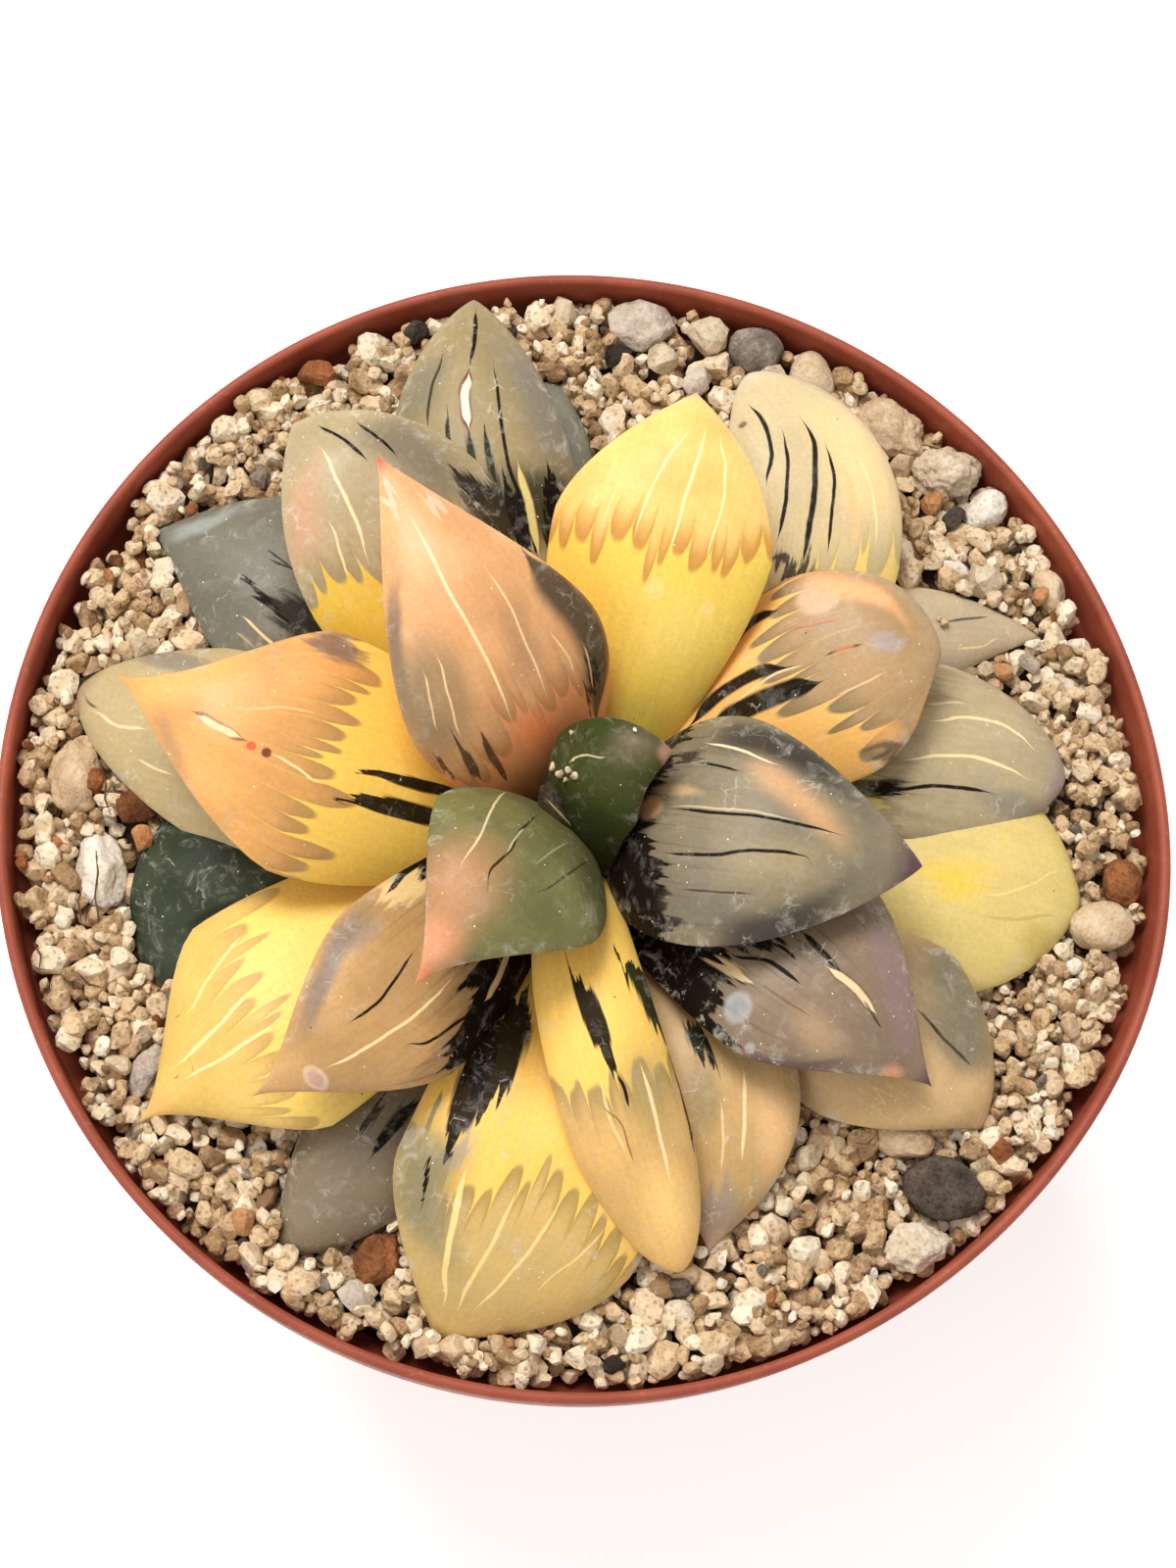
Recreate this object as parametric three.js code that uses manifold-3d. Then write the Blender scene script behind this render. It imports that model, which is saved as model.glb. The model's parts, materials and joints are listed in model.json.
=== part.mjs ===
// Potted haworthia: a fleshy window-leaved rosette in a round plastic nursery pot, top-dressed with pumice.
// Millimetres, +Z up. The origin is the middle of the object's box, on the surface it stands on.
import * as THREE from 'three';
import { mergeVertices } from 'three/addons/utils/BufferGeometryUtils.js';
import Module from 'manifold-3d';

const wasm = await Module();
wasm.setup();

// ---------------------------------------------------------------- driving dimensions
const POT_HEIGHT = 68;
const RIM_RADIUS = 45;
const FOOT_RADIUS = 31.2;
const WALL = 0.9;
const COLLAR_HEIGHT = 5;
const COLLAR_STEP = 1.3;
const FOOT_LIFT = 1.2;
const FLOOR_THICKNESS = 1.3;
const DRAIN_HOLE_RADIUS = 3;
const DRAIN_CIRCLE_RADIUS = 18;
const DRAIN_HOLES = 6;
const ROUND_SEGMENTS = 40;

// The thin wall is pushed a little out of round, most at the rim and not at all at the foot.
const BULGE = 1.1;
const BULGE_HEADING = -3;
const BULGE_SPREAD = 24;

const GAP = 0.3;                     // clearance between touching pieces
const SOIL_TOP = 60;
const GRAVEL_TOP = 64;
const STEM_RADIUS = 4.2;
const STEM_BOTTOM = 50;
const STEM_TOP = 70;

const GRAVEL_BED_TOP = 63.8;
const GRAIN_RADIUS = 2.4;
const GRAIN_SPACING = 4.9;
const GRAIN_INNER_REACH = 19;
const GRAIN_LEAST_SIZE = 0.85;        // the smallest and largest grain, as shares of the radius
const GRAIN_SIZE_RANGE = 0.35;
const GRAIN_LEAST_SQUASH = 0.75;      // the flattest grain
const GRAIN_DEPTH = 0.85;
const GRAIN_RISE = 0.35;              // share of its size that a grain's middle stands above the bed
const GRAIN_STRAY = 0.5;              // how far a grain strays from its place, outwards and upwards
const GRAIN_TURN_STRAY = 0.03;        // radians
const GRAIN_COVERED = 0.55;           // a grain with this share of it inside a leaf or stone is left out
const CROWN_HOLE_RADIUS = 14;         // plain hole in the gravel where the leaves gather on the stem
const GRAVEL_OUTER_RADIUS = 42.1;
const GRAVEL_SEED = 7;
const FULL_TURN = 2 * Math.PI;

// Each leaf rises from the stem to its knee, where it is widest, and runs out to its tip.
//   heading      direction of the tip seen from above, degrees from +X towards +Y
//   reach        distance of the tip from the stem's axis
//   kneeOut      distance of the widest point along the heading, kneeAside its offset to the left
//   ...Height    above the gravel, along the middle of the leaf
//   crown, keel  how far the upper face and the back stand out from the line between the margins
//   neck         width at the root as a share of the full width
//   kneeAt       place of the knee along the leaf, 0 root to 1 tip
//   swell, point exponents of the outline beyond the knee: a low point gives a blunt end
//   roll         turn about the leaf's own length, degrees
const LEAVES = {
  leaf_01: { heading: 243, reach: 21, tipHeight: 19, kneeOut: 9.5, kneeAside: 0.5, kneeHeight: 18,
    width: 15.5, crown: 2.5, keel: 6.5, neck: 0.4, kneeAt: 0.4, swell: 1.5, point: 1.45, roll: -7,
    rootOut: 2.5, rootHeight: 5 },
  leaf_02: { heading: 17, reach: 6, tipHeight: 19, kneeOut: 0.5, kneeAside: -0.5, kneeHeight: 15,
    width: 9, crown: 1.8, keel: 4.5, neck: 0.6, kneeAt: 0.5, swell: 1.8, point: 0.9, roll: -6,
    root: [1.5, -4], rootHeight: 7 },
  leaf_03: { heading: 135, reach: 28, tipHeight: 20, kneeOut: 9.5, kneeAside: 1, kneeHeight: 16,
    width: 17, crown: 2.5, keel: 6.5, neck: 0.4, kneeAt: 0.4, swell: 1.6, point: 1.15, roll: 1,
    rootOut: 3, rootHeight: 4 },
  leaf_04: { heading: 85, reach: 31.5, tipHeight: 15, kneeOut: 20, kneeAside: -0.5, kneeHeight: 14,
    width: 17, crown: 2.5, keel: 6.5, neck: 0.4, kneeAt: 0.5, swell: 1.4, point: 1.1, roll: 0,
    rootOut: 3, rootHeight: 2 },
  leaf_05: { heading: 355, reach: 25.5, tipHeight: 15, kneeOut: 10, kneeAside: -1.5, kneeHeight: 15,
    width: 18, crown: 2.5, keel: 6.5, neck: 0.4, kneeAt: 0.5, swell: 1.9, point: 0.9, roll: 1,
    rootOut: 3, rootHeight: 3 },
  leaf_06: { heading: 177, reach: 36.5, tipHeight: 12, kneeOut: 21, kneeAside: 2.5, kneeHeight: 12,
    width: 19, crown: 2.5, keel: 6.5, neck: 0.4, kneeAt: 0.45, swell: 1.4, point: 1.75, roll: -5,
    rootOut: 3, rootHeight: 1 },
  leaf_07: { heading: 234, reach: 34, tipHeight: 11, kneeOut: 21, kneeAside: 2, kneeHeight: 13,
    width: 14.5, crown: 2.5, keel: 5.5, neck: 0.5, kneeAt: 0.45, swell: 1.5, point: 1.8, roll: -21,
    rootOut: 3, rootHeight: 1 },
  leaf_08: { heading: 292, reach: 36, tipHeight: 4, kneeOut: 23, kneeAside: -2.5, kneeHeight: 11,
    width: 9, crown: 2.4, keel: 5, neck: 0.4, kneeAt: 0.7, swell: 2.5, point: 0.6, roll: 1,
    rootOut: 3, rootHeight: 0 },
  leaf_09: { heading: 330, reach: 34, tipHeight: 8, kneeOut: 21, kneeAside: 0, kneeHeight: 11,
    width: 16.5, crown: 2.5, keel: 5.5, neck: 0.5, kneeAt: 0.55, swell: 1.5, point: 1.35, roll: 0,
    rootOut: 3, rootHeight: 0 },
  leaf_10: { heading: 33, reach: 29.5, tipHeight: 10, kneeOut: 21, kneeAside: 1.5, kneeHeight: 10,
    width: 16.5, crown: 2.5, keel: 5.5, neck: 0.55, kneeAt: 0.5, swell: 1.5, point: 0.8, roll: 2,
    rootOut: 3, rootHeight: 0 },
  leaf_11: { heading: 226, reach: 41.5, tipHeight: 2, kneeOut: 29.5, kneeAside: 0, kneeHeight: 6,
    width: 18.5, crown: 2.5, keel: 5.5, neck: 0.45, kneeAt: 0.6, swell: 1.5, point: 2, roll: 1,
    rootOut: 3.5, rootHeight: -2 },
  leaf_12: { heading: 265, reach: 41.5, tipHeight: 1, kneeOut: 30.5, kneeAside: 3.5, kneeHeight: 6,
    width: 20, crown: 2.5, keel: 5.5, neck: 0.45, kneeAt: 0.7, swell: 1.9, point: 1, roll: -6,
    rootOut: 3.5, rootHeight: -2 },
  leaf_13: { heading: 138, reach: 37, tipHeight: 10, kneeOut: 23, kneeAside: -1, kneeHeight: 9,
    width: 18, crown: 2.5, keel: 5.5, neck: 0.55, kneeAt: 0.45, swell: 1.6, point: 0.9, roll: 0,
    rootOut: 3.5, rootHeight: -1 },
  leaf_14: { heading: 112, reach: 42.5, tipHeight: 6, kneeOut: 26, kneeAside: 2.5, kneeHeight: 7,
    width: 14.5, crown: 2.5, keel: 5.5, neck: 0.6, kneeAt: 0.6, swell: 2.1, point: 0.8, roll: 0,
    rootOut: 3.5, rootHeight: -1 },
  leaf_15: { heading: 80, reach: 38, tipHeight: 6, kneeOut: 25, kneeAside: -9.5, kneeHeight: 6,
    width: 14.5, crown: 2.5, keel: 5.5, neck: 0.6, kneeAt: 0.55, swell: 2.6, point: 0.6, roll: 2,
    rootOut: 3.5, rootHeight: -2 },
  leaf_16: { heading: 156, reach: 41, tipHeight: 2, kneeOut: 29, kneeAside: -2, kneeHeight: 3,
    width: 16, crown: 2.5, keel: 4.5, neck: 0.6, kneeAt: 0.6, swell: 1.6, point: 1.2, roll: 0,
    rootOut: 4, rootHeight: -3 },
  leaf_17: { heading: 176, reach: 40.5, tipHeight: 2, kneeOut: 21.5, kneeAside: 2, kneeHeight: 4,
    width: 17.5, crown: 2.5, keel: 4.5, neck: 0.6, kneeAt: 0.6, swell: 1.9, point: 0.6, roll: -1,
    rootOut: 4, rootHeight: -3 },
  leaf_18: { heading: 213, reach: 35, tipHeight: 1, kneeOut: 24, kneeAside: -5.5, kneeHeight: 2,
    width: 16, crown: 2.5, keel: 4.5, neck: 0.6, kneeAt: 0.55, swell: 2.1, point: 0.8, roll: 0,
    rootOut: 4, rootHeight: -4 },
  leaf_19: { heading: 246, reach: 40.5, tipHeight: 0.5, kneeOut: 28.5, kneeAside: 1.5, kneeHeight: 2.5,
    width: 11.5, crown: 2.5, keel: 4.5, neck: 0.6, kneeAt: 0.55, swell: 1.4, point: 0.8, roll: 0,
    rootOut: 4, rootHeight: -4 },
  leaf_20: { heading: 1, reach: 39.5, tipHeight: 1.5, kneeOut: 27, kneeAside: 0, kneeHeight: 2.5,
    width: 19, crown: 2.5, keel: 4.5, neck: 0.6, kneeAt: 0.55, swell: 2, point: 0.75, roll: 3,
    rootOut: 4, rootHeight: -3 },
  leaf_21: { heading: 15, reach: 38, tipHeight: 3, kneeOut: 24.5, kneeAside: 3.5, kneeHeight: 4.5,
    width: 15, crown: 2.5, keel: 5.5, neck: 0.6, kneeAt: 0.7, swell: 2.4, point: 0.6, roll: -3,
    rootOut: 4, rootHeight: -3 },
  leaf_22: { heading: 33, reach: 40, tipHeight: 1, kneeOut: 27.5, kneeAside: 4, kneeHeight: 2,
    width: 10, crown: 2, keel: 3.5, neck: 0.6, kneeAt: 0.6, swell: 1.4, point: 1, roll: 0,
    rootOut: 4, rootHeight: -4 },
  leaf_23: { heading: 332, reach: 39, tipHeight: 0.5, kneeOut: 28, kneeAside: 1, kneeHeight: 3.5,
    width: 16.5, crown: 2.5, keel: 4.5, neck: 0.55, kneeAt: 0.45, swell: 1.4, point: 1.6, roll: 2,
    rootOut: 4, rootHeight: -3 },
  leaf_24: { heading: 296, reach: 35, tipHeight: 2.5, kneeOut: 22, kneeAside: 3.5, kneeHeight: 5,
    width: 13.5, crown: 2.5, keel: 5.5, neck: 0.6, kneeAt: 0.55, swell: 2.5, point: 1.3, roll: 0,
    rootOut: 3.5, rootHeight: -2 },
  leaf_25: { heading: 103, reach: 36.5, tipHeight: 1.5, kneeOut: 26, kneeAside: 3, kneeHeight: 2,
    width: 11, crown: 2, keel: 3.5, neck: 0.6, kneeAt: 0.55, swell: 2.2, point: 0.8, roll: 0,
    rootOut: 4, rootHeight: -3 },
  leaf_26: { heading: 195, reach: 3.5, tipHeight: 12.5, kneeOut: 1.7, kneeAside: 1.8, kneeHeight: 11.5,
    width: 5, crown: 1, keel: 1.6, neck: 0.7, kneeAt: 0.5, swell: 1.6, point: 0.9, roll: 0,
    root: [1.5, -3.5], rootHeight: 5 },
  leaf_27: { heading: 174, reach: 3.2, tipHeight: 11, kneeOut: 0.7, kneeAside: 1.2, kneeHeight: 9.5,
    width: 5.5, crown: 0.9, keel: 1.6, neck: 0.7, kneeAt: 0.5, swell: 1.8, point: 0.9, roll: 0,
    root: [1.5, -2.5], rootHeight: 5 },
};

// The order in which the leaves take their room: an outer leaf gives way to those above it.
const LEAF_ORDER = [
  26, 27, 1, 2, 3, 5, 4, 6, 7, 9, 8, 10, 13, 15, 14, 12, 11, 24, 17, 21, 23, 16, 20, 22, 19, 18, 25,
];
const LEAF_SEGMENTS = 12;
const LEAF_RINGS = 7;

const LEAF_COLOURS = {
  green: 0x5b6238,
  peach: 0xdca26c,
  yellow: 0xe9cd68,
  grey: 0x77715c,
  olive: 0x9a946e,
};
const LEAF_TINTS = {
  green: [1, 2, 18, 26, 27],
  peach: [3, 10, 24],
  yellow: [4, 6, 8, 11, 12, 15, 20],
  grey: [5, 9, 16, 19],
  olive: [7, 13, 14, 17, 21, 22, 23, 25],
};

// Larger stones in the top dressing: place of the middle, half sizes, turn about +Z and colour.
const STONE_SINK = 0.25;             // share of its half height that a stone's middle lies above its ground
const STONE_LIFT = 1.6;              // height of that ground above the bed, between the grains
const STONES = {
  stone_01: { at: [-2.5, 41.5], half: [2.9, 2.1, 1.7], turn: 10, colour: 0xb3a294 },
  stone_02: { at: [7.1, 41.3], half: [2.4, 1.85, 1.6], turn: -10, colour: 0x6e6459 },
  stone_03: { at: [11.9, 39.7], half: [1.85, 2.2, 1.7], turn: 12, colour: 0xb89c7c },
  stone_04: { at: [19.2, 36.7], half: [2.9, 2.4, 1.9], turn: -35, colour: 0x9d7b5c },
  stone_05: { at: [23.8, 33.8], half: [2.7, 2.3, 1.9], turn: 20, colour: 0xcdb797 },
  stone_06: { at: [27.5, 31.3], half: [2.0, 1.5, 1.4], turn: 50, colour: 0xe2d6c4 },
  stone_07: { at: [42.4, 3.0], half: [1.7, 1.9, 1.5], turn: 0, colour: 0x8a4f2e },
  stone_08: { at: [41.2, -0.8], half: [2.8, 1.9, 1.5], turn: 14, colour: 0xb59f86 },
  stone_09: { at: [32.2, -23.3], half: [3.3, 2.5, 1.8], turn: -10, colour: 0x55493f },
  stone_10: { at: [30.8, -28.1], half: [2.5, 1.9, 1.5], turn: 20, colour: 0xc7b194 },
  stone_11: { at: [28.6, -20.2], half: [2.2, 1.7, 1.5], turn: -8, colour: 0xbba083 },
  stone_12: { at: [-8.8, -36.4], half: [1.7, 2.1, 1.6], turn: -20, colour: 0x7e4527 },
  stone_13: { at: [-39.2, -3.8], half: [2.2, 3.2, 1.9], turn: 8, colour: 0xa98b6d },
  stone_14: { at: [-35.7, -10.9], half: [1.9, 3.2, 1.4], turn: 20, colour: 0xd9c8b0 },
  stone_15: { at: [-28.8, -25.6], half: [1.3, 2.3, 1.3], turn: -12, colour: 0x8b7f72 },
  stone_16: { at: [33.5, 25.8], half: [1.3, 1.9, 1.3], turn: 30, colour: 0xc9b394 },
};
const STONE_LUMPS = 0.1;

// ---------------------------------------------------------------- solids
const rad = THREE.MathUtils.degToRad;

/** Turn a closed three.js geometry into a solid with its faces pointing out. */
function toSolid(geometry) {
  const plain = geometry.clone();
  plain.deleteAttribute('normal');
  plain.deleteAttribute('uv');
  const merged = mergeVertices(plain, 1e-4);
  const position = merged.attributes.position.array;
  const index = merged.index.array;
  const corner = (i) => new THREE.Vector3().fromArray(position, 3 * i);
  const triangles = [];
  let volume = 0;
  for (let i = 0; i < index.length; i += 3) {
    const [a, b, c] = [index[i], index[i + 1], index[i + 2]];
    if (a === b || b === c || c === a) continue;
    triangles.push([a, b, c]);
    volume += corner(a).dot(corner(b).cross(corner(c)));
  }
  const facing = triangles.map(([a, b, c]) => (volume < 0 ? [a, c, b] : [a, b, c]));
  return new wasm.Manifold(new wasm.Mesh({
    numProp: 3,
    vertProperties: new Float32Array(position),
    triVerts: new Uint32Array(facing.flat()),
  }));
}

/** Give a solid back as a geometry, its largest body only. */
function toGeometry(solid) {
  const bodies = solid.decompose();
  const largest = bodies.reduce((a, b) => (a.volume() > b.volume() ? a : b));
  const mesh = largest.getMesh();
  const geometry = new THREE.BufferGeometry();
  geometry.setAttribute('position', new THREE.BufferAttribute(new Float32Array(mesh.vertProperties), 3));
  geometry.setIndex(new THREE.BufferAttribute(new Uint32Array(mesh.triVerts), 1));
  geometry.computeVertexNormals();
  return geometry;
}

/** Turn a profile of [radius, height] points about +Z. */
function turned(profile, segments = ROUND_SEGMENTS) {
  const points = profile.map(([radius, height]) => new THREE.Vector2(radius, height));
  return new THREE.LatheGeometry(points, segments).rotateX(Math.PI / 2);
}

/** Move every vertex of a geometry by a rule. */
function reshaped(geometry, rule) {
  const position = geometry.attributes.position;
  const point = new THREE.Vector3();
  for (let i = 0; i < position.count; i += 1) {
    point.fromBufferAttribute(position, i);
    rule(point);
    position.setXYZ(i, point.x, point.y, point.z);
  }
  return geometry;
}

/** Push what is near the wall out where the pot is out of round. */
function outOfRound(point) {
  const radius = Math.hypot(point.x, point.y);
  if (radius < 1) return;
  let away = THREE.MathUtils.radToDeg(Math.atan2(point.y, point.x)) - BULGE_HEADING;
  away = THREE.MathUtils.euclideanModulo(away + 180, 360) - 180;
  const share = (point.z / POT_HEIGHT) ** 2 * (radius / RIM_RADIUS);
  const push = BULGE * share * Math.exp(-((away / BULGE_SPREAD) ** 2));
  point.x *= (radius + push) / radius;
  point.y *= (radius + push) / radius;
}

/** A repeatable stream of numbers from 0 to 1. */
function seededRandom(seed) {
  let state = seed;
  return () => {
    state = (state * 1664525 + 1013904223) % 4294967296;
    return state / 4294967296;
  };
}

// ---------------------------------------------------------------- pot, soil and stem
const COLLAR_BOTTOM = POT_HEIGHT - COLLAR_HEIGHT;
const COLLAR_EASE = 0.6;              // height over which the wall steps out to the collar
const FOOT_WIDTH = 2;
const WALL_TOP_RADIUS = RIM_RADIUS - COLLAR_STEP;

/** Outer radius of the tapered wall at a height. */
const wallRadius = (height) => {
  const share = height / COLLAR_BOTTOM;
  return THREE.MathUtils.lerp(FOOT_RADIUS + 0.6, WALL_TOP_RADIUS, share);
};
const insideRadius = (height) => wallRadius(height) - WALL;

/** Thin wall with a foot ring, drain holes, an upright collar and a rounded lip. */
function pot() {
  const lip = [0, 45, 90, 135, 180].map((angle) => [
    RIM_RADIUS - WALL / 2 + (WALL / 2) * Math.cos(rad(angle)),
    POT_HEIGHT - WALL / 2 + (WALL / 2) * Math.sin(rad(angle)),
  ]);
  const floorTop = FOOT_LIFT + FLOOR_THICKNESS;
  const profile = [
    [0, FOOT_LIFT],
    [FOOT_RADIUS - FOOT_WIDTH - 0.4, FOOT_LIFT],
    [FOOT_RADIUS - FOOT_WIDTH, 0],
    [FOOT_RADIUS, 0],
    [wallRadius(1), 1],
    [wallRadius(COLLAR_BOTTOM - COLLAR_EASE), COLLAR_BOTTOM - COLLAR_EASE],
    [RIM_RADIUS - COLLAR_EASE / 4, COLLAR_BOTTOM],
    ...lip,
    [RIM_RADIUS - WALL - COLLAR_EASE / 4, COLLAR_BOTTOM + COLLAR_EASE / 2],
    [insideRadius(COLLAR_BOTTOM - COLLAR_EASE), COLLAR_BOTTOM - 1.3 * COLLAR_EASE],
    [insideRadius(floorTop), floorTop],
    [0, floorTop],
  ];
  let solid = toSolid(reshaped(turned(profile), outOfRound));
  const drill = new THREE.CylinderGeometry(DRAIN_HOLE_RADIUS, DRAIN_HOLE_RADIUS, 6, 12).rotateX(Math.PI / 2);
  for (let i = 0; i < DRAIN_HOLES; i += 1) {
    const angle = rad((360 / DRAIN_HOLES) * i);
    const hole = drill.clone().translate(
      DRAIN_CIRCLE_RADIUS * Math.cos(angle),
      DRAIN_CIRCLE_RADIUS * Math.sin(angle),
      FOOT_LIFT,
    );
    solid = solid.subtract(toSolid(hole));
  }
  return solid;
}

/** Soil that fills the pot below the gravel, with a plain hole for the stem. */
function substrate() {
  const bottom = FOOT_LIFT + FLOOR_THICKNESS + GAP;
  const profile = [
    [0, bottom],
    [insideRadius(bottom) - GAP, bottom],
    [insideRadius(SOIL_TOP) - GAP, SOIL_TOP],
    [STEM_RADIUS + GAP, SOIL_TOP],
    [STEM_RADIUS + GAP, STEM_BOTTOM],
    [0, STEM_BOTTOM],
  ];
  return toSolid(reshaped(turned(profile), outOfRound));
}

/** Short thick stem, thicker by extra all round. */
function stem(extra = 0) {
  const profile = [
    [0, STEM_BOTTOM + GAP - extra],
    [STEM_RADIUS - 0.8 + extra, STEM_BOTTOM + GAP - extra],
    [STEM_RADIUS + extra, STEM_BOTTOM + 3],
    [STEM_RADIUS + extra, STEM_TOP - 4],
    [STEM_RADIUS - 1.4 + extra, STEM_TOP - 1],
    [0, STEM_TOP + extra],
  ];
  return toSolid(turned(profile, 16));
}

// ---------------------------------------------------------------- leaves
/** The points that carry one leaf's middle line: root, knee and tip. */
function leafLine(leaf) {
  const out = new THREE.Vector2(Math.cos(rad(leaf.heading)), Math.sin(rad(leaf.heading)));
  const left = new THREE.Vector2(-out.y, out.x);
  const root = leaf.root
    ? new THREE.Vector2(...leaf.root)
    : out.clone().multiplyScalar(leaf.rootOut);
  const knee = out.clone().multiplyScalar(leaf.kneeOut).addScaledVector(left, leaf.kneeAside);
  const tip = out.clone().multiplyScalar(leaf.reach);
  return {
    root: new THREE.Vector3(root.x, root.y, GRAVEL_TOP + leaf.rootHeight),
    knee: new THREE.Vector3(knee.x, knee.y, GRAVEL_TOP + leaf.kneeHeight),
    tip: new THREE.Vector3(tip.x, tip.y, GRAVEL_TOP + leaf.tipHeight),
  };
}

/** Share of the full width at a place along the leaf. */
function leafOutline(leaf, along) {
  if (along < leaf.kneeAt) {
    return leaf.neck + (1 - leaf.neck) * Math.sin((Math.PI / 2) * (along / leaf.kneeAt));
  }
  const beyond = (along - leaf.kneeAt) / (1 - leaf.kneeAt);
  return Math.max(0, 1 - beyond ** leaf.swell) ** leaf.point;
}

/** One leaf as a solid, thicker by extra all round. */
function leafSolid(leaf, extra = 0) {
  const { root, knee, tip } = leafLine(leaf);
  const at = leaf.kneeAt;
  const bend = knee.clone()
    .addScaledVector(root, -((1 - at) ** 2))
    .addScaledVector(tip, -(at ** 2))
    .divideScalar(2 * at * (1 - at));
  const line = new THREE.QuadraticBezierCurve3(root, bend, tip);
  const span = tip.clone().sub(root);
  const side = new THREE.Vector3(span.y, -span.x, 0).normalize()
    .applyAxisAngle(span.clone().normalize(), rad(leaf.roll));
  const blank = new THREE.SphereGeometry(1, LEAF_SEGMENTS, LEAF_RINGS);
  const shaped = reshaped(blank, (point) => {
    const along = (1 - point.y) / 2;
    const ring = Math.hypot(point.x, point.z);
    const across = ring > 1e-6 ? point.x / ring : 0;
    const up = ring > 1e-6 ? point.z / ring : 0;
    const centre = line.getPoint(along);
    const forward = line.getTangent(along);
    const lateral = side.clone().addScaledVector(forward, -side.dot(forward)).normalize();
    const normal = lateral.clone().cross(forward);
    const width = leafOutline(leaf, along);
    const half = ring > 1e-6 ? (leaf.width / 2) * width + extra : 0;
    const spread = Math.abs(across);
    const face = up > 0
      ? (leaf.crown * width ** 0.9 + extra) * Math.max(0, 1 - spread ** 2.4) ** 0.8
      : -(leaf.keel * width ** 0.8 + extra) * Math.max(0, 1 - spread ** 1.6) ** 0.87;
    const height = ring > 1e-6 ? face : 0;
    const end = ring > 1e-6 ? 0 : extra * Math.sign(-point.y);
    point.copy(centre)
      .addScaledVector(lateral, half * across)
      .addScaledVector(normal, height)
      .addScaledVector(forward, end);
  });
  return toSolid(shaped);
}

/** Whether two solids' boxes meet. */
function near(a, b) {
  const p = a.boundingBox();
  const q = b.boundingBox();
  return [0, 1, 2].every((i) => p.min[i] < q.max[i] && q.min[i] < p.max[i]);
}

/** Take another solid away from a solid where the two meet. */
function cleared(solid, other) {
  if (!near(solid, other)) return solid;
  return solid.intersect(other).isEmpty() ? solid : solid.subtract(other);
}

/** All leaves, each trimmed to the stem, the soil and the leaves above it. */
function rosette() {
  const ground = toSolid(new THREE.CylinderGeometry(RIM_RADIUS, RIM_RADIUS, SOIL_TOP, 24)
    .rotateX(Math.PI / 2).translate(0, 0, SOIL_TOP / 2 + GAP));
  const room = stem(GAP);
  const leaves = {};
  const taken = [];
  for (const number of LEAF_ORDER) {
    const name = `leaf_${String(number).padStart(2, '0')}`;
    let solid = cleared(cleared(leafSolid(LEAVES[name]), ground), room);
    for (const other of taken) {
      solid = cleared(solid, other);
    }
    leaves[name] = solid;
    taken.push(leafSolid(LEAVES[name], GAP));
  }
  return { leaves, taken };
}

// ---------------------------------------------------------------- stones and gravel
/** A rounded lumpy stone, larger by extra all round. */
function stoneSolid(stone, phase, extra = 0) {
  const [a, b, c] = stone.half;
  const blank = new THREE.IcosahedronGeometry(1, 1);
  const shaped = reshaped(blank, (point) => {
    const lump = Math.sin(3.1 * point.x + phase) + Math.sin(2.7 * point.y - 1.3 * phase)
      + Math.sin(3.7 * point.z + 0.7 * phase);
    const size = 1 + (STONE_LUMPS / 2) * lump;
    point.set(point.x * (a * size + extra), point.y * (b * size + extra), point.z * (c * size + extra));
  });
  shaped.rotateZ(rad(stone.turn));
  shaped.translate(stone.at[0], stone.at[1], GRAVEL_BED_TOP + c * STONE_SINK + STONE_LIFT);
  return toSolid(shaped);
}

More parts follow.
